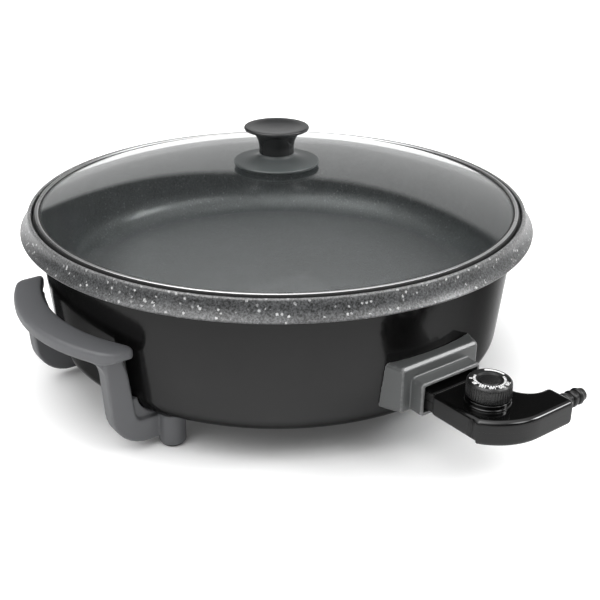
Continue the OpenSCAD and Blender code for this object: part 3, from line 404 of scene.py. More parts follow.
castGrain = (300.0, 300.0, 300.0)
rodStreak = (300.0, 2200.0, 300.0)
finishes = {
    "granite_coat": graniteMaterial(),
    "black_enamel": enamelMaterial(),
    "aluminium": metalMaterial("castAluminium", grey(0.66), 0.45, castGrain, 0.00006),
    "steel": metalMaterial("plainSteel", grey(0.58), 0.34, rodStreak),
    "lid_steel": metalMaterial("polishedSteel", grey(0.82), 0.28),
    "ceramic": plasticMaterial("ceramicBody", (0.72, 0.68, 0.6, 1), 0.55, 700.0),
    # the guard's lighter edges are mostly a painted highlight
    "guard_grey": plasticMaterial("guardGrey", grey(0.085, (0.96, 1.0, 1.0)), 0.24, 1500.0, 0.00002, 0.1,
                                  {"reach": 0.03, "share": 0.7, "color": grey(0.34)}),
    "handle_grey": plasticMaterial("handleGrey", grey(0.118, (0.97, 0.99, 1.04)), 0.46, 1300.0, 0.00006, 0.1,
                                   {"reach": 0.05, "share": 0.45, "color": grey(0.2)}),
    "rubber": plasticMaterial("blackRubber", grey(0.018), 0.62, 900.0, 0.00008),
    "glass": glassMaterial(),
    # the knob's plastic is kept darker than its own colour, as painted shade on the grip's stem
    "knob_plastic": plasticMaterial("knobCharcoal", grey(0.023, (0.96, 1.0, 1.03)), 0.24, 1600.0, 0.00001),
    "brass": metalMaterial("plainBrass", (0.72, 0.52, 0.24, 1), 0.32, rodStreak),
    "case_gloss": caseMaterial({"fadeLow": 2.6, "fadeHigh": 1.6, "side": grey(0.015), "top": grey(0.002),
                                "sideRough": 0.28, "topRough": 0.1, "coat": 0.6}),
    "block_brown": plasticMaterial("brownResin", (0.19, 0.1, 0.055, 1), 0.5, 900.0),
    "dial_black": plasticMaterial("dialBlack", grey(0.01), 0.3, 1400.0, 0.00003),
}
# painted light: a lighter, bluer copy of the knob's plastic for the flange
flangeLitGrey = plasticMaterial("flangeLitGrey", grey(0.082, (0.9, 1.0, 1.0)), 0.36, 1600.0, 0.00002)
reliefBlack = plasticMaterial("reliefBlack", grey(0.008), 0.3, 900.0, 0.00003)
dialPrint = paintMaterial()
print("materials", len(finishes))


# mesh helpers
def evenly(a, b, n):
    return [a + (b - a) * i / n for i in range(n + 1)]


def arcPoints(c, r, a0, a1, n):
    turns = [math.radians(a) for a in evenly(a0, a1, n)]
    return [(c[0] + r * math.cos(a), c[1] + r * math.sin(a)) for a in turns]


def bowlProfile(rTop, zTop, zFloor, draft, r, floorSteps=12):
    lean = math.atan(draft / (zTop - zFloor))
    cz = zFloor + r
    cx = rTop - math.tan(lean) * (zTop - cz + r * math.sin(lean)) - r * math.cos(lean)
    floorPts = [(cx * i / floorSteps, zFloor) for i in range(floorSteps)]
    wallFoot = arcPoints((cx, cz), r, -90, -math.degrees(lean), 20)
    footR, footZ = wallFoot[-1]
    wallPts = [(footR + (rTop - footR) * t, footZ + (zTop - footZ) * t) for t in (0.25, 0.5, 0.75, 1.0)]
    return floorPts + wallFoot + wallPts


# rounds the corners of a profile that turn by more than the limit
def softCorners(profile, radius, limit=25, steps=4):
    out = []
    count = len(profile)
    for i, here in enumerate(profile):
        here = Vector(here)
        a = Vector(profile[i - 1]) - here
        b = Vector(profile[(i + 1) % count]) - here
        onAxis = here.x < tiny
        if onAxis or a.length < tiny or b.length < tiny or 180 - math.degrees(a.angle(b)) < limit:
            out.append(tuple(here))
            continue
        trim = min(radius, 0.4 * a.length, 0.4 * b.length)
        p = here + a.normalized() * trim
        q = here + b.normalized() * trim
        for k in range(steps + 1):
            t = k / steps
            out.append(tuple(p * (1 - t) ** 2 + here * 2 * t * (1 - t) + q * t ** 2))
    return out


def shadeByAngle(bm, smoothAngle):
    for face in bm.faces:
        face.smooth = True
    for edge in bm.edges:
        edge.smooth = len(edge.link_faces) == 2 and edge.calc_face_angle(0) < math.radians(smoothAngle)


def objectFrom(name, bm, smoothAngle=40):
    bmesh.ops.remove_doubles(bm, verts=bm.verts, dist=weld)
    bmesh.ops.recalc_face_normals(bm, faces=bm.faces)
    shadeByAngle(bm, smoothAngle)
    mesh = bpy.data.meshes.new(name)
    bm.to_mesh(mesh)
    bm.free()
    return newObject(name, mesh)


# a carved mesh has its doubles merged, a grown one its normals recalculated
def reshade(obj, angle, carved=False):
    bm = bmesh.new()
    bm.from_mesh(obj.data)
    if carved:
        bmesh.ops.remove_doubles(bm, verts=bm.verts, dist=weld)
    else:
        bmesh.ops.recalc_face_normals(bm, faces=bm.faces)
    shadeByAngle(bm, angle)
    bm.to_mesh(obj.data)
    bm.free()


def turned(name, profile, steps=roundSteps, turn=None):
    bm = bmesh.new()
    turns = [2 * math.pi * k / steps for k in range(steps)]
    rings = []
    for r, z in profile:
        if r < tiny:
            rings.append([bm.verts.new((0, 0, z))])
        else:
            rings.append([bm.verts.new((r * math.cos(a), r * math.sin(a), z)) for a in turns])
    for low, high in zip(rings, rings[1:] + rings[:1]):
        for k in range(steps):
            corners = [low[k % len(low)], low[(k + 1) % steps % len(low)],
                       high[(k + 1) % steps % len(high)], high[k % len(high)]]
            unique = list(dict.fromkeys(corners))
            if len(unique) > 2:
                bm.faces.new(unique)
    if turn:
        bm.transform(turn)
    bm.transform(Matrix.Scale(milli, 4))
    return objectFrom(name, bm)


def loftRings(name, rings, smoothAngle=40):
    bm = bmesh.new()
    rows = [[bm.verts.new(Vector(p) * milli) for p in ring] for ring in rings]
    count = len(rows[0])
    for low, high in zip(rows, rows[1:]):
        for k in range(count):
            bm.faces.new((low[k], low[(k + 1) % count], high[(k + 1) % count], high[k]))
    bm.faces.new(rows[0][::-1])
    bm.faces.new(rows[-1])
    return objectFrom(name, bm, smoothAngle)


def boxTool(name, low, high, bevel=0.0):
    bm = bmesh.new()
    bmesh.ops.create_cube(bm, size=1)
    for vert in bm.verts:
        vert.co = Vector([(low[i] if vert.co[i] < 0 else high[i]) * milli for i in range(3)])
    if bevel:
        bmesh.ops.bevel(bm, geom=list(bm.edges), offset=bevel * milli, segments=3, profile=0.5,
                        affect="EDGES")
    return objectFrom(name, bm)


def rodTool(name, r, start, end, sides=48):
    axis = Vector(end) - Vector(start)
    bm = bmesh.new()
    bmesh.ops.create_cone(bm, cap_ends=True, segments=sides, radius1=r * milli, radius2=r * milli,
                          depth=axis.length * milli)
    bm.transform(axis.to_track_quat("Z", "Y").to_matrix().to_4x4())
    bm.transform(Matrix.Translation((Vector(start) + Vector(end)) / 2 * milli))
    return objectFrom(name, bm)


# bar with a square section on its corner, along X: takes a slope off an edge or fills a corner
def cornerBar(name, y, z, slope, halfLength):
    bm = bmesh.new()
    bmesh.ops.create_cube(bm, size=1)
    side = slope * math.sqrt(2)
    bm.transform(Matrix.Diagonal((2 * halfLength, side, side, 1)))
    bm.transform(Matrix.Translation((0, y, z)) @ Matrix.Rotation(math.radians(45), 4, "X"))
    bm.transform(Matrix.Scale(milli, 4))
    return objectFrom(name, bm)


def bakeModifiers(obj):
    graph = bpy.context.evaluated_depsgraph_get()
    graph.update()
    baked = bpy.data.meshes.new_from_object(obj.evaluated_get(graph), preserve_all_data_layers=True,
                                            depsgraph=graph)
    obj.modifiers.clear()
    obj.data = baked
    return obj


def carve(obj, adds=(), cuts=()):
    for tool, operation in [(t, "UNION") for t in adds] + [(t, "DIFFERENCE") for t in cuts]:
        step = obj.modifiers.new(operation.lower(), "BOOLEAN")
        step.operation = operation
        step.solver = "MANIFOLD"
        step.object = tool
    bakeModifiers(obj)
    for tool in list(adds) + list(cuts):
        bpy.data.objects.remove(tool)
    return obj


def finishPiece(obj, body, slot, nodes=(), material=None):
    obj.data.materials.clear()
    obj.data.materials.append(material or finishes[slot])
    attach(obj, body)
    if nodes:
        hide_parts(*nodes)
    return obj


# pan: bowl, ledge, lip and flared rim band in one turned form
def bandPoint(t, inset=0.0):
    return (lipOut + pan["bandFlare"] * t ** pan["bandBow"] - inset, pan["rimH"] - pan["bandH"] * t)


def panProfile():
    under = bowlProfile(panOut, ledgeUnder, floorUnder, pan["draft"], pan["corner"] + pan["wall"])
    inside = bowlProfile(panIn, ledgeZ, pan["floorH"], pan["draft"], pan["corner"])
    tUnder = (pan["rimH"] - ledgeUnder) / pan["bandH"]
    skirtIn = [bandPoint(t, pan["bandT"]) for t in evenly(tUnder, 1, 12)]
    toeR = pan["bandT"] / 2
    toe = arcPoints((pan["rimR"] - toeR, pan["rimH"] - pan["bandH"]), toeR, 180, 360, 10)
    skirtOut = [bandPoint(i / 20) for i in range(19, 1, -1)]
    lipRound = pan["lipW"] * pan["lipRound"]
    lip = (arcPoints((lipOut - lipRound, pan["rimH"] - lipRound), lipRound, 0, 90, 6)
           + arcPoints((lipIn + lipRound, pan["rimH"] - lipRound), lipRound, 90, 180, 6))
    return under + skirtIn[:-1] + toe + skirtOut + lip + [(lipIn, ledgeZ)] + inside[::-1]


panPiece = turned("panBody", softCorners(panProfile(), pan["soft"]))
finishPiece(panPiece, "base", "granite_coat", ["pan"])
print("pan", len(panPiece.data.polygons))


# base shell: black drum with the socket window behind the guard
def drumProfile(grow):
    return bowlProfile(shellTopR + grow, ledgeUnder, shell["low"] - grow, shell["draft"],
                       shell["corner"] + grow)


shellPiece = turned("drumShell", drumProfile(0) + drumProfile(-shell["wall"])[::-1])
windowX = shell["windowW"] / 2
windowZ = shell["windowH"] / 2
window = boxTool("window", (-windowX, -shellTopR - past, axisZ - windowZ),
                 (windowX, -shell["windowIn"], axisZ + windowZ))
carve(shellPiece, cuts=[window])
finishPiece(shellPiece, "base", "black_enamel", ["base_shell"])
print("shell", len(shellPiece.data.polygons))

# plate in a leg's crook that follows the drum closely
web = {"x": (143.5, 177), "y": 64.5, "t": 5.2, "z": (23.6, 42.2), "gap": 0.15}


def webPlate(side, end):
    xs = sorted(side * x for x in web["x"])
    mid = end * web["y"]
    half = web["t"] / 2
    plate = boxTool("web", (xs[0], mid - half, web["z"][0]), (xs[1], mid + half, web["z"][1]))
    return carve(plate, cuts=[turned("drumForm", drumProfile(web["gap"]) + [(0, ledgeUnder)])])


# flare that carries a leg out into the underside of the grip bar
bar = {"h": 87, "t": 9.5, "w": 23, "span": 154, "gap": 8, "endGap": 1.2, "past": 6}
leg = {"t": 13, "topW": 15.5, "topIn": 0.5, "gap": 2.5, "flareX": 8.5, "flareY": 12, "flareZ": 12,
       "inset": 2.2}
barHalf = bar["span"] / 2
barIn = shellRadius(bar["h"]) + bar["gap"]
barSag = barIn - math.sqrt((shellRadius(bar["h"]) + bar["endGap"]) ** 2 - barHalf ** 2)
barArc = (barHalf ** 2 + barSag ** 2) / (2 * barSag)
barUnder = bar["h"] - bar["t"]
legEnd = barHalf - bar["past"]
legStart = legEnd - leg["t"]
legIn = math.sqrt(shellRadius(barUnder) ** 2 - legStart ** 2) + leg["gap"]


def barInner(y):
    return barIn - barArc + math.sqrt(barArc ** 2 - y ** 2)


def legFlare(side, end, levels=10, steps=12):
    inset = leg["inset"]
    rings = []
    for k in range(levels + 1):
        t = k / levels
        bend = 1 - math.sqrt(1 - t ** 2)
        z = barUnder - leg["flareZ"] * (1 - t)
        ys = evenly(legEnd - inset, legStart - leg["flareY"] * bend, steps)
        reachX = legIn + leg["topW"] - leg["topIn"] + leg["flareX"] * bend
        outer = [(min(reachX, barInner(y) + bar["w"] - inset), y) for y in ys]
        inner = [(max(legIn + inset, barInner(y) + inset), y) for y in ys[::-1]]
        rings.append([(side * x, end * y, z) for x, y in outer + inner])
    rings.append([(x, y, barUnder + bar["t"] / 2) for x, y, z in rings[-1]])
    return loftRings("flare", rings)


# handles and guard: the solids' own forms with every edge eased
eased = {
    "left_handle": {"name": "leftHandle", "slot": "handle_grey", "voxel": 0.7, "passes": 6, "side": -1},
    "right_handle": {"name": "rightHandle", "slot": "handle_grey", "voxel": 0.7, "passes": 6, "side": 1},
    "socket_guard": {"name": "socketGuard", "slot": "guard_grey", "voxel": 0.45, "passes": 7},
}
solidWeld = 2e-6
for node, look in eased.items():
    bm = bmesh.new()
    bm.from_mesh(frame["nodes"][node].data)
    bmesh.ops.remove_doubles(bm, verts=bm.verts, dist=solidWeld)
    mesh = bpy.data.meshes.new(look["name"])
    bm.to_mesh(mesh)
    bm.free()
    piece = newObject(look["name"], mesh)
    if "side" in look:
        carve(piece, adds=[make(look["side"], end) for make in (webPlate, legFlare) for end in (-1, 1)])
    else:
        blockTop = axisZ + guard["top"]
        mouthTop = axisZ + guard["mouthTop"]
        filletHalf = guard["mouthW"] / 2 - guard["filletIn"]
        carve(piece, adds=[cornerBar("fillet", guardY, mouthTop, guard["fillet"], filletHalf)],
              cuts=[cornerBar("slope", guardY, blockTop, guard["slope"], guard["slopeHalf"]),
                    cornerBar("mouthSlope", mouthY, mouthTop, guard["mouthSlope"], guard["slopeHalf"])])
    remesh = piece.modifiers.new("evenGrid", "REMESH")
    remesh.mode = "VOXEL"
    remesh.voxel_size = look["voxel"] * milli
    remesh.use_smooth_shade = True
    ease = piece.modifiers.new("ease", "SMOOTH")
    ease.factor = 0.5
    ease.iterations = look["passes"]
    bakeModifiers(piece)
    finishPiece(piece, "base", look["slot"], [node])
    print(look["name"], len(piece.data.polygons))

# lid: domed glass in a polished rim, turned knob on a flange
lid = {"gap": 2.4, "glassT": 3, "rise": 28, "power": 2.3, "rimT": 0.8, "rimW": 3, "rimFoot": 1.5,
       "beadH": 0.9, "hole": 4, "seat": 0.15, "sealW": 1.3, "sealT": 0.35, "sealGap": 0.05, "sealLift": 0.02,
       "outerShadeBand": 0.6, "outerGap": 0.04}
lidR = lipIn - lid["gap"]
glassR = lidR - lid["rimT"] - lid["seat"]
glassEdge = ledgeZ + lid["rimT"] + lid["seat"] + lid["glassT"]
crownZ = glassEdge + lid["rise"]


def domeZ(r):
    return glassEdge + lid["rise"] * (1 - (r / glassR) ** lid["power"])


glassTop = [(r, domeZ(r)) for r in evenly(lid["hole"], glassR, 60)]
glassProfile = [(r, z - lid["glassT"]) for r, z in glassTop] + glassTop[::-1]
glassPiece = turned("lidGlass", softCorners(glassProfile, 0.8, 60))
finishPiece(glassPiece, "lid", "glass", ["lid_glass"])

rimFoot = glassR - lid["rimFoot"]
rimInner = lidR - lid["rimW"]
seatR = glassR + lid["seat"]
overGlass = [(r, domeZ(min(r, glassR)) + lid["seat"]) for r in evenly(rimInner, seatR, 8)]
beadZ = overGlass[0][1] + lid["rimT"] / 2
bead = [(lidR - lid["rimW"] / 2 * (1 - x), beadZ + lid["beadH"] * z)
        for x, z in arcPoints((0, 0), 1, 0, 180, 20)]
rimProfile = ([(rimFoot, ledgeZ), (lidR, ledgeZ)] + bead + overGlass
              + [(seatR, ledgeZ + lid["rimT"]), (rimFoot, ledgeZ + lid["rimT"])])
rimPiece = turned("lidRim", softCorners(rimProfile, 0.5))
finishPiece(rimPiece, "lid", "lid_steel", ["lid_rim"])

# dark bead of sealant between the rim and the glass
sealSteps = 6
sealRadii = [rimInner - lid["sealGap"] - lid["sealW"] * i / sealSteps for i in range(sealSteps + 1)]
sealLow = [(r, domeZ(r) + lid["sealLift"]) for r in sealRadii]
sealHigh = [(r, z + lid["sealT"] * math.sin(math.pi * (0.1 + 0.8 * i / sealSteps)))
            for i, (r, z) in enumerate(sealLow)]
finishPiece(turned("lidSealLine", sealLow + sealHigh[::-1]), "lid", "rubber")

# painted shade: a dark band round the outside of the rim, set where the gap to the lip lies in shade
outerR = lidR + lid["outerGap"]
outerT = lid["outerShadeBand"]
outerProfile = [(outerR, ledgeZ + 0.4), (outerR + outerT * 0.7, ledgeZ + 0.5),
                (outerR + outerT, ledgeZ + 1.2), (outerR + outerT, beadZ - 0.2),
                (outerR + outerT * 0.4, beadZ + 0.45), (outerR - 0.15, beadZ + 0.62), (outerR, beadZ + 0.1)]
finishPiece(turned("lidOuterShadeBand", outerProfile), "lid", "rubber")

# knob: its dish is given as shares of the top's radius, with the depth there
knob = {"flangeR": 33.4, "footIn": 1, "stemR": 13.5, "stemH": 4, "topR": 25.2, "height": 29, "flangeH": 8,
        "gasket": 1.2, "screwR": 2.5, "boreGap": 0.3, "spigotH": 4, "spigotIn": 4, "spigotGap": 0.15,
        "edge": 2.4, "rim": 1.3, "insertWall": 2.15, "insertDrop": 9, "sides": 144,
        "dish": ((0.75, 0.45), (0.6, 0.95), (0.4, 1.2), (0.2, 1.5), (0, 1.6))}
baseZ = crownZ + knob["gasket"]
gripZ = baseZ + knob["flangeH"]
gripLow = gripZ - knob["spigotH"]
knobTop = baseZ + knob["height"]
spigotR = knob["stemR"] - knob["spigotIn"]
spigotHole = spigotR + knob["spigotGap"]
knobBore = knob["screwR"] + knob["boreGap"]


# quarter curve that leaves a level and meets b upright
def sweepIn(a, b, n=18):
    turns = [math.radians(90 * i / n) for i in range(1, n + 1)]
    return [(b[0] + (a[0] - b[0]) * (1 - math.sin(w)), a[1] + (b[1] - a[1]) * (1 - math.cos(w)))
            for w in turns]


edgeR = knob["edge"] / 2
edgeX = knob["flangeR"] - edgeR
flangeProfile = ([(knobBore, baseZ), (knob["flangeR"] - knob["footIn"], baseZ)]
                 + arcPoints((edgeX, baseZ + edgeR), edgeR, -60, 90, 10)
                 + sweepIn((edgeX, baseZ + knob["edge"]), (knob["stemR"], gripZ))
                 + [(spigotHole, gripZ), (spigotHole, gripLow), (knobBore, gripLow)])
flangePiece = turned("knobFlange", softCorners(flangeProfile, 0.3, 50), knob["sides"])
finishPiece(flangePiece, "lid", "knob_plastic", ["knob_base"], flangeLitGrey)

insertBore = knob["screwR"] + knob["insertWall"]
insertTop = gripLow + knob["height"] - knob["flangeH"] - knob["insertDrop"] + knob["boreGap"]
rimX = knob["topR"] - knob["rim"]
rimZ = knobTop - 2 * knob["rim"]
gripProfile = ([(insertBore, gripLow), (spigotR, gripLow), (spigotR, gripZ), (knob["stemR"], gripZ)]
               + sweepIn((rimX, rimZ), (knob["stemR"], gripZ + knob["stemH"]))[::-1]
               + arcPoints((rimX, rimZ + knob["rim"]), knob["rim"], -60, 90, 12)
               + [(knob["topR"] * share, knobTop - deep) for share, deep in knob["dish"]]
               + [(0, insertTop), (insertBore, insertTop)])
gripPiece = turned("knobGrip", softCorners(gripProfile, 0.3, 60), knob["sides"])
finishPiece(gripPiece, "lid", "knob_plastic", ["knob_grip"])
print("lid", len(glassPiece.data.polygons), len(rimPiece.data.polygons))


# controller: two housing halves lofted over one plan outline
def caseOutline(d):
    er = case["endRound"]
    start = 360 - math.degrees(math.acos((d - halfW - sweepC[0]) / (case["sweepR"] - d)))
    tailX = case["tailX"]
    crook = case["crookR"]
    return (arcPoints((er - halfW, shoulderY - er), er - d, 90, 180, 8)
            + arcPoints(sweepC, case["sweepR"] - d, start, 270, 28)
            + arcPoints((tailX - er, tailFront + er), er - d, 270, 360, 8)
            + arcPoints((tailX - er, tailBack - er), er - d, 0, 90, 8)
            + arcPoints((halfW + crook, tailBack + crook), crook + d, 270, 180, 20)
            + arcPoints((halfW - er, shoulderY - er), er - d, 0, 90, 8))


def caseLoft(name, levels):
    return loftRings(name, [[(x, y, z) for x, y in caseOutline(d)] for z, d in levels], case["smooth"])


def roundedLevels(flatZ, edgeZ, steps=7):
    side = 1 if edgeZ > flatZ else -1
    r = case["round"]
    split = case["split"]
    turns = [math.radians(90 * i / steps) for i in range(steps + 1)]
    levels = [(flatZ, split), (flatZ + side * split, 0.0)]
    return levels + [(edgeZ - side * r * (1 - math.sin(a)), r * (1 - math.cos(a))) for a in turns]


def noseTool(low, high):
    w = case["noseW"] / 2
    return boxTool("nose", (-w, shoulderY - case["noseRoot"], low), (w, noseY, high), case["noseRound"])


def tailRod(name, first, last):
    ends = [(case["tailX"] + along, tailMid, axisZ) for along in (first, last)]
    return rodTool(name, case[name], *ends)


def hollowTools(low, high):
    wall = case["wall"]
    w = case["noseW"] / 2 - wall
    inset = case["throatIn"]
    tools = [caseLoft("hollow", [(low, wall), (high, wall)]),
             boxTool("throat", (-w, shoulderY - case["throatRoot"], low + inset),
                     (w, noseY - wall, high - inset))]
    for x, r in case["noseHoles"]:
        tools.append(rodTool("noseHole", r, (x, noseY + past, axisZ), (x, noseY - wall - past, axisZ)))
    tools.append(tailRod("tailHole", past, -case["tailHoleLen"]))
    tools.append(tailRod("tailSeat", -wall, -wall - case["tailSeatLen"]))
    return tools


def notchTool():
    x = -halfW - case["notchR"] + case["notchIn"]
    y = cornerY + case["notchY"]
    return rodTool("notch", case["notchR"], (x, y, caseLow - case["notchUnder"]), (x, y, caseTop + past))


# screw columns inside the housing
column = {"form": 3.4, "bore": 1.55, "sink": 2.75, "sinkH": 3, "overlap": 0.5, "gap": 0.2, "cap": 0.6,
          "foot": 1, "under": 4, "pastDial": 9, "pastTail": 2}
columnIn = case["wall"] + column["form"] - column["overlap"]
columnSpots = [(columnIn - halfW, dialY - column["pastDial"]),
               (case["tailX"] / 2 + column["pastTail"], tailFront + columnIn)]


def columnRods(name, low, high):
    return [rodTool(name, column[name], (x, y, low), (x, y, high)) for x, y in columnSpots]


def finishHalf(obj, node):
    reshade(obj, case["smooth"], True)
    obj.modifiers.new("evenNormals", "WEIGHTED_NORMAL").keep_sharp = True
    bakeModifiers(obj)
    finishPiece(obj, "controller", "case_gloss", [node])


dial = {"r": 15.0, "h": 12.0, "collarH": 4.0, "collarOut": 0.4, "collarIn": 0.2, "gap": 0.3, "shaftR": 3.0,
        "shaftGap": 0.06, "boreGap": 0.15, "boreShare": 0.6, "ringShare": 0.6, "wallIn": 0.55, "crownIn": 0.2,
        "faceIn": 1.5, "faceDrop": 0.1, "faceFall": 0.4}
collarZ = caseTop + dial["collarH"]
dialZ = collarZ + dial["gap"]
dialTop = dialZ + dial["h"]
roofZ = caseTop - case["wall"]
noseRoof = noseTop - case["wall"]

upper = caseLoft("caseUpper", roundedLevels(axisZ, caseTop))
collarFoot = dial["r"] + dial["collarOut"]
collarR = dial["r"] - dial["collarIn"]
collarProfile = [(0, noseRoof), (collarFoot, noseRoof), (collarFoot, caseTop + 0.6), (collarR, caseTop + 1.2),
                 (collarR, collarZ), (0, collarZ)]
collar = turned("collar", softCorners(collarProfile, 0.5), 96, Matrix.Translation((0, dialY, 0)))
shaftHole = rodTool("shaftHole", dial["shaftR"] + dial["shaftGap"], (0, dialY, axisZ),
                    (0, dialY, collarZ + past))
carve(upper, adds=[noseTool(axisZ, noseTop)], cuts=hollowTools(axisZ - past, noseRoof) + [notchTool()])
carve(upper, adds=[collar] + columnRods("form", axisZ + column["gap"], roofZ + column["overlap"]),
      cuts=[shaftHole] + columnRods("bore", axisZ - past, roofZ - column["cap"]))
finishHalf(upper, "upper_housing")

lower = caseLoft("caseLower", roundedLevels(axisZ, caseLow))
tail = caseLoft("tailTub", roundedLevels(axisZ, caseLow - case["tailDrop"]))
trimLow, trimHigh = case["trimX"]
carve(tail, cuts=[boxTool("tailTrim", (trimLow, cornerY, 0), (trimHigh, 0, case["trimH"]))])
carve(lower, adds=[tail, noseTool(noseLow, axisZ)],
      cuts=hollowTools(noseLow + case["wall"], axisZ + past) + [notchTool()])
columnLow = caseLow - column["under"]
sinkZ = caseLow + column["sinkH"]
carve(lower, adds=columnRods("form", caseLow + column["foot"], axisZ - column["gap"]),
      cuts=columnRods("bore", columnLow, axisZ + past) + columnRods("sink", columnLow, sinkZ))
finishHalf(lower, "lower_housing")
print("controller", len(upper.data.polygons), len(lower.data.polygons))

# strain relief: sleeve with round ribs
relief = {"len": 21.0, "r": 6.0, "neck": 4.8, "taper": 0.2, "bore": 3.4, "flange": 2.5, "seatGap": 0.15,
          "ribs": 3, "ribR": 4.35, "ribT": 1.65, "ribStart": 0.62}
reliefTurn = Matrix.Translation((case["tailX"], tailMid, axisZ)) @ Matrix.Rotation(math.radians(90), 4, "Y")
reliefEnd = -case["wall"] - relief["flange"]
reliefSeat = -case["wall"] - relief["seatGap"]
reliefProfile = [(relief["bore"], reliefEnd), (relief["r"], reliefEnd), (relief["r"], reliefSeat),
                 (relief["neck"], reliefSeat), (relief["neck"] - relief["taper"], relief["len"]),
                 (relief["bore"], relief["len"])]
reliefPiece = turned("reliefSleeve", softCorners(reliefProfile, 0.6), 64, reliefTurn)
finishPiece(reliefPiece, "controller", "rubber", ["strain_relief"], reliefBlack)


# geometry node trees for what repeats
def geometryTree(name, inputs):
    every = [("Geometry", "Geometry", None)] + inputs + [("Material", "Material", None)]
    return startTree(name, "Geometry", every, [("Geometry", "Geometry")])


def onPoints(tree, points, shape, rotation=(0, 0, 0)):
    return nodeOut(tree, "GeometryNodeInstanceOnPoints", {"Points": points, "Instance": shape,
                                                          "Rotation": rotation})


def closeTree(tree, given, put, shapes):
    plain = nodeOut(tree, "GeometryNodeRealizeInstances", {"Geometry": shapes})
    dressed = nodeOut(tree, "GeometryNodeSetMaterial", {"Geometry": plain, "Material": given["Material"]})
    setInputs(tree, put, {"Geometry": dressed})
    return tree


def grownPiece(name, tree, values, points):
    mesh = bpy.data.meshes.new(name)
    mesh.from_pydata([Vector(p) * milli for p in points], [], [])
    obj = newObject(name, mesh)
    step = obj.modifiers.new("grow", "NODES")
    step.node_group = tree
    for item in tree.interface.items_tree:
        if item.in_out == "INPUT" and item.name in values:
            step[item.identifier] = values[item.name]
    return bakeModifiers(obj)


# ribs round the strain relief: swept rings along X
def ribTree():
    tree, given, put = geometryTree("reliefRibs", [("Rib Radius", "Float", 0.0055),
                                                   ("Rib Thickness", "Float", 0.001)])
    circle = "GeometryNodeCurvePrimitiveCircle"
    path = nodeOut(tree, circle, {"Resolution": 56, "Radius": given["Rib Radius"]})
    section = nodeOut(tree, circle, {"Resolution": 16, "Radius": given["Rib Thickness"]})
    ring = nodeOut(tree, "GeometryNodeCurveToMesh", {"Curve": path, "Profile Curve": section})
    spread = onPoints(tree, given["Geometry"], ring, (0, math.radians(90), 0))
    return closeTree(tree, given, put, spread)


ribPitch = relief["len"] / (relief["ribs"] + 0.5)
ribPoints = [(case["tailX"] + (i + relief["ribStart"]) * ribPitch, tailMid, axisZ)
             for i in range(relief["ribs"])]
ribPiece = grownPiece("reliefRibs", ribTree(), {
    "Rib Radius": relief["ribR"] * milli, "Rib Thickness": relief["ribT"] * milli,
    "Material": reliefBlack}, ribPoints)
reshade(ribPiece, 45)
finishPiece(ribPiece, "controller", "rubber", (), reliefBlack)

# dial: turned body, knurled wall, printed scale
ringIn = dial["r"] * dial["ringShare"]
dialWall = dial["r"] - dial["wallIn"]
faceR = dial["r"] - dial["faceIn"]
crownR = dial["r"] - dial["crownIn"]
top = dial["h"]
dialProfile = [(0, 0), (dialWall - 0.4, 0), (dialWall, 0.8), (dialWall, top - 2.4), (crownR, top - 2.2),
               (crownR, top - 1.5), (faceR, top - dial["faceDrop"]), (ringIn, top - 0.5),
               (ringIn - 0.5, top - 1.5), (ringIn - 2.2, top - 1.5), (ringIn - 2.6, top - 0.9), (0, top - 0.7)]
dialPiece = turned("dialBody", softCorners(dialProfile, 0.35), 128, Matrix.Translation((0, dialY, dialZ)))
dialBore = rodTool("dialBore", dial["shaftR"] + dial["boreGap"], (0, dialY, dialZ - past),
                   (0, dialY, dialZ + dial["h"] * dial["boreShare"]))
carve(dialPiece, cuts=[dialBore])
reshade(dialPiece, 40, True)
finishPiece(dialPiece, "dial", "dial_black", ["dial"])


# blocks spread over an arc round Z
def ringTree(name):
    tree, given, put = geometryTree(name, [
        ("Count", "Int", 40), ("Radius", "Float", 0.0145), ("Size", "Vector", (0.001, 0.001, 0.008)),
        ("Start", "Float", 0.0), ("Arc", "Float", 1.0)])
    index = nodeOut(tree, "GeometryNodeInputIndex")
    share = mathNode(tree, "DIVIDE", index, mathNode(tree, "SUBTRACT", given["Count"], 1.0))
    along = times(tree, share, times(tree, given["Arc"], 2 * math.pi))
    turn = plus(tree, along, given["Start"])
    x = times(tree, mathNode(tree, "COSINE", turn), given["Radius"])
    y = times(tree, mathNode(tree, "SINE", turn), given["Radius"])
    spot = nodeOut(tree, "ShaderNodeCombineXYZ", {0: x, 1: y})
    facing = nodeOut(tree, "ShaderNodeCombineXYZ", {2: turn})
    points = nodeOut(tree, "GeometryNodePoints", {"Count": given["Count"], "Position": spot})
    block = nodeOut(tree, "GeometryNodeMeshCube", {"Size": given["Size"]})
    spread = onPoints(tree, points, block, facing)
    return closeTree(tree, given, put, onPoints(tree, given["Geometry"], spread))


blockTree = ringTree("barsOnRing")
knurl = {"count": 48, "width": 0.9, "height": 8.4, "stand": 0.05, "lift": 0.9, "ease": 0.22}
knurlPiece = grownPiece("dialKnurl", blockTree, {
    "Count": knurl["count"] + 1, "Radius": (dialWall + knurl["stand"]) * milli,
    "Size": Vector((knurl["width"], knurl["width"], knurl["height"])) * milli, "Arc": 1.0,
    "Material": finishes["dial_black"]}, [(0, dialY, dialZ + knurl["lift"] + knurl["height"] / 2)])
easeEdges = knurlPiece.modifiers.new("easeEdges", "BEVEL")
easeEdges.width = knurl["ease"] * milli
easeEdges.segments = 2
bakeModifiers(knurlPiece)
reshade(knurlPiece, 60)
finishPiece(knurlPiece, "dial", "dial_black")

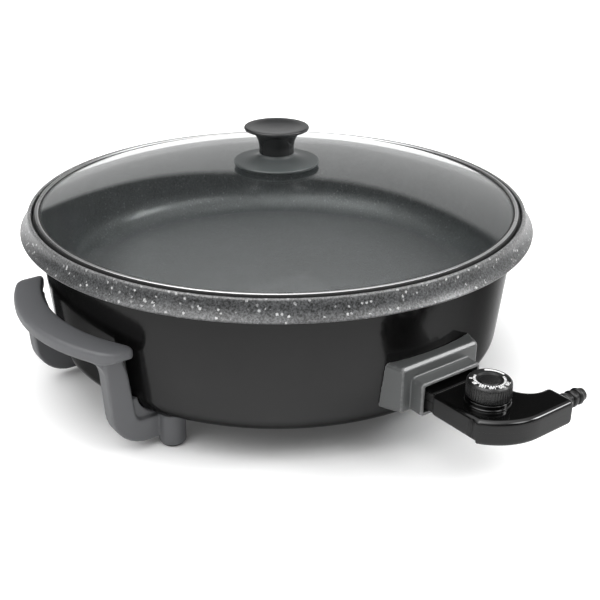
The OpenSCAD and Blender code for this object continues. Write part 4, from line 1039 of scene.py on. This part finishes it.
scale = {"ticks": 23, "tickSpan": (115, 340), "tickR": 9.95, "tickSize": (1.6, 1.1, 0.2), "tickDrop": 0.4,
         "figures": ["0", "80", "120", "160", "200", "240"], "figureSpan": (140, 292), "figureR": 12.05,
         "figureH": 2.35, "figureFit": 1.35, "figureDrop": 0.16, "figureT": 0.08, "bold": 0.1,
         "bandSpan": (-6, 60), "bandR": 11.9, "bandW": (1.2, 1.7), "bandZ": (-0.1, 0.07), "bandSteps": 40}
tickStart, tickEnd = scale["tickSpan"]
tickPiece = grownPiece("dialTicks", blockTree, {
    "Count": scale["ticks"], "Radius": scale["tickR"] * milli, "Size": Vector(scale["tickSize"]) * milli,
    "Start": math.radians(tickStart), "Arc": (tickEnd - tickStart) / 360,
    "Material": dialPrint}, [(0, dialY, dialTop - scale["tickDrop"])])
finishPiece(tickPiece, "dial", "dial_black", (), dialPrint)


def figureMesh(text):
    curve = bpy.data.curves.new("figure", "FONT")
    curve.body = text
    curve.size = scale["figureH"] * milli * scale["figureFit"]
    curve.align_x = "CENTER"
    curve.align_y = "CENTER"
    curve.extrude = scale["figureT"] * milli
    curve.offset = scale["bold"] * milli
    curve.resolution_u = 3
    carrier = newObject("figure", curve)
    graph = bpy.context.evaluated_depsgraph_get()
    mesh = bpy.data.meshes.new_from_object(carrier.evaluated_get(graph))
    bpy.data.objects.remove(carrier)
    return mesh


def spanTurn(span, share):
    first, last = scale[span]
    return math.radians(first + (last - first) * share)


def onDial(turn, r, z):
    return Vector((math.cos(turn) * r, math.sin(turn) * r + dialY, z)) * milli


figureBm = bmesh.new()
for i, text in enumerate(scale["figures"]):
    turn = spanTurn("figureSpan", i / (len(scale["figures"]) - 1))
    mesh = figureMesh(text)
    spot = onDial(turn, scale["figureR"], dialTop - scale["figureDrop"])
    mesh.transform(Matrix.Translation(spot) @ Matrix.Rotation(turn - math.pi / 2, 4, "Z"))
    figureBm.from_mesh(mesh)
finishPiece(objectFrom("dialFigures", figureBm), "dial", "dial_black", (), dialPrint)

# band that widens with the heat, printed round the figures
bandBm = bmesh.new()
bandRows = []
for i, width in enumerate(evenly(*scale["bandW"], scale["bandSteps"])):
    turn = spanTurn("bandSpan", i / scale["bandSteps"])
    row = []
    for r in (scale["bandR"] - width / 2, scale["bandR"] + width / 2):
        face = dialTop - dial["faceDrop"] - (faceR - r) / (faceR - ringIn) * dial["faceFall"]
        row += [bandBm.verts.new(onDial(turn, r, face + z)) for z in scale["bandZ"]]
    bandRows.append(row)
for a, b in zip(bandRows, bandRows[1:]):
    for j, k in ((0, 1), (1, 3), (3, 2), (2, 0)):
        bandBm.faces.new((a[j], a[k], b[k], b[j]))
for row in (bandRows[0], bandRows[-1]):
    bandBm.faces.new((row[0], row[1], row[3], row[2]))
finishPiece(objectFrom("dialBand", bandBm), "dial", "dial_black", (), dialPrint)
print("dial", len(dialPiece.data.polygons), len(knurlPiece.data.polygons))


# cross-head screws under the shell and the controller
def lifted(tree, shape, z, turn=0.0):
    rise = nodeOut(tree, "ShaderNodeCombineXYZ", {2: z})
    return nodeOut(tree, "GeometryNodeTransform", {"Geometry": shape, "Translation": rise,
                                                   "Rotation": (0, 0, turn)})


def screwTree():
    tree, given, put = geometryTree("crossScrews", [
        ("Head Radius", "Float", 0.004), ("Head Height", "Float", 0.0024), ("Shank Radius", "Float", 0.002),
        ("Shank Length", "Float", 0.014), ("Slot", "Float", 0.0009)])
    headR = given["Head Radius"]
    headH = given["Head Height"]
    length = given["Shank Length"]
    cone = nodeOut(tree, "GeometryNodeMeshCone", {"Vertices": 40, "Radius Top": headR, "Depth": headH,
                                                  "Radius Bottom": times(tree, headR, 0.8)})
    head = lifted(tree, cone, times(tree, headH, -1.0))
    slotLen = times(tree, headR, 1.1)
    slotSize = nodeOut(tree, "ShaderNodeCombineXYZ", {0: slotLen, 1: given["Slot"], 2: headH})
    slot = nodeOut(tree, "GeometryNodeMeshCube", {"Size": slotSize})
    for turn in (0.0, math.radians(90)):
        tool = lifted(tree, slot, times(tree, headH, -1.1), turn)
        head = nodeOut(tree, "GeometryNodeMeshBoolean", {"Mesh 1": head, "Mesh 2": tool},
                       operation="DIFFERENCE", solver="EXACT")
    shank = nodeOut(tree, "GeometryNodeMeshCylinder", {"Vertices": 24, "Radius": given["Shank Radius"],
                                                       "Depth": length})
    whole = makeNode(tree, "GeometryNodeJoinGeometry")
    for shape in (head, lifted(tree, shank, times(tree, length, 0.5))):
        tree.links.new(shape, whole.inputs[0])
    return closeTree(tree, given, put, onPoints(tree, given["Geometry"], whole.outputs[0]))


crossTree = screwTree()
postCircle = 126
screws = {
    "postScrews": {"body": "base", "node": "post_screws", "headR": 4, "headH": 2.4, "shankR": 2,
                   "shankLen": 14, "slot": 0.9,
                   "spots": [(x, y, shell["low"]) for x, y in arcPoints((0, 0), postCircle, 90, 330, 2)]},
    "caseScrews": {"body": "controller", "node": "housing_screws", "headR": 2.6, "headH": 1.8, "shankR": 1.4,
                   "shankLen": roofZ - 1.5 - sinkZ, "slot": 0.6,
                   "spots": [(x, y, sinkZ) for x, y in columnSpots]},
}
for name, screw in screws.items():
    piece = grownPiece(name, crossTree, {
        "Head Radius": screw["headR"] * milli, "Head Height": screw["headH"] * milli,
        "Shank Radius": screw["shankR"] * milli, "Shank Length": screw["shankLen"] * milli,
        "Slot": screw["slot"] * milli, "Material": finishes["steel"]}, screw["spots"])
    reshade(piece, 35)
    finishPiece(piece, screw["body"], "steel", [screw["node"]])
    print(name, len(piece.data.polygons))

# solids that stay as they are, each with its own finish
slotOf = {part["node"]: part["material_slot"] for part in frame["record"]["subparts"]}
for name, node in frame["nodes"].items():
    node.data.materials.clear()
    node.data.materials.append(finishes[slotOf[name]])
print("nodes dressed", len(slotOf))

# floor, white to the camera, with the part's shadow kept close in; farther out painted light washes it away
floorLook = {"half": 5.0, "albedo": 0.88, "glow": 0.05, "farGlow": 0.44, "fade": (0.165, 0.25)}
reach = floorLook["half"]
floorMesh = bpy.data.meshes.new("floor")
floorMesh.from_pydata([(-reach, -reach, 0), (reach, -reach, 0), (reach, reach, 0), (-reach, reach, 0)], [],
                      [(0, 1, 2, 3)])
floor = newObject("floor", floorMesh)
floorMat, tree, place, bsdf = startMaterial("paleFloor")
setInputs(tree, bsdf, {"Base Color": grey(floorLook["albedo"]), "Roughness": 0.9, "Specular IOR Level": 0.1})
rays = tree.nodes.new("ShaderNodeLightPath").outputs
mirrored = mathNode(tree, "MAXIMUM", rays["Is Glossy Ray"], rays["Is Transmission Ray"])
seen = mathNode(tree, "MAXIMUM", rays["Is Camera Ray"], mirrored)
# painted light: past the fade radius the floor glows more for the camera, washing out shadows there
fade = ramp(tree, lengthOf(tree, place), (*floorLook["fade"], 0.0, floorLook["farGlow"]))
far = times(tree, rays["Is Camera Ray"], fade)
shine = plus(tree, times(tree, seen, floorLook["glow"]), far)
glow = nodeOut(tree, "ShaderNodeEmission", {"Strength": shine})
both = nodeOut(tree, "ShaderNodeAddShader", {0: bsdf.outputs[0], 1: glow})
below = nodeOut(tree, "ShaderNodeNewGeometry", None, "Backfacing")
hidden = times(tree, below, rays["Is Camera Ray"])
clear = nodeOut(tree, "ShaderNodeBsdfTransparent")
fromBelow = nodeOut(tree, "ShaderNodeMixShader", {0: hidden, 1: both, 2: clear})
setInputs(tree, tree.nodes["Material Output"], {"Surface": fromBelow})
floorMesh.materials.append(floorMat)

# light: dome with a pale sweep that rises to the right, a darker middle, a bright ceiling and three glows;
# white where the camera looks past the floor
dome = {"sweep": 0.56, "middle": 0.035, "ceiling": 1.25, "edge": (0.15, 0.19), "rise": 0.35,
        "roof": (0.58, 0.9), "through": (0.06, 0.1)}
glows = {
    "upperLeft": {"toward": (-0.54, -0.02, 0.84), "cosine": (0.7, 1.0), "peak": 3.7},
    "right": {"toward": (0.64, -0.47, 0.61), "cosine": (0.975, 1.0), "peak": 20.0},
    "front": {"toward": (0.25, -0.63, 0.73), "cosine": (0.955, 1.0), "peak": 6.0},
}
world = bpy.data.worlds.new("studioDome")
scene.world = world
world.use_nodes = True
sky = world.node_tree
direction = sky.nodes.new("ShaderNodeTexCoord").outputs["Generated"]
axes = makeNode(sky, "ShaderNodeSeparateXYZ", {"Vector": direction}).outputs
tilted = mathNode(sky, "SUBTRACT", axes[2], times(sky, axes[0], dome["rise"]))
sweep = ramp(sky, tilted, (*dome["edge"], dome["sweep"] - dome["middle"], 0.0))
ceiling = ramp(sky, axes[2], (*dome["roof"], dome["middle"], dome["ceiling"]))
lit = plus(sky, sweep, ceiling)
for glow in glows.values():
    toward = Vector(glow["toward"]).normalized()
    facing = nodeOut(sky, "ShaderNodeVectorMath", {0: direction, 1: toward}, "Value", operation="DOT_PRODUCT")
    lobe = mathNode(sky, "POWER", ramp(sky, facing, (*glow["cosine"], 0.0, 1.0)), 2.0)
    lit = plus(sky, lit, times(sky, lobe, glow["peak"]))
skyRays = sky.nodes.new("ShaderNodeLightPath").outputs
lowDown = times(sky, skyRays["Is Transmission Ray"], ramp(sky, axes[2], (*dome["through"], 1.0, 0.0)))
plain = mathNode(sky, "MAXIMUM", skyRays["Is Camera Ray"], lowDown)
strength = plus(sky, plain, times(sky, lit, mathNode(sky, "SUBTRACT", 1.0, plain)))
setInputs(sky, sky.nodes["Background"], {"Strength": strength, "Color": (1, 1, 1, 1)})

topPanel = {"place": (0, 0, 1.8), "size": 1.4, "watts": 1.0}  # faint fill from straight above
light = bpy.data.lights.new("topPanel", "AREA")
light.size = topPanel["size"]
light.energy = topPanel["watts"]
lamp = newObject("topPanel", light)
lamp.location = topPanel["place"]
lamp.visible_camera = False
print("stage ready")
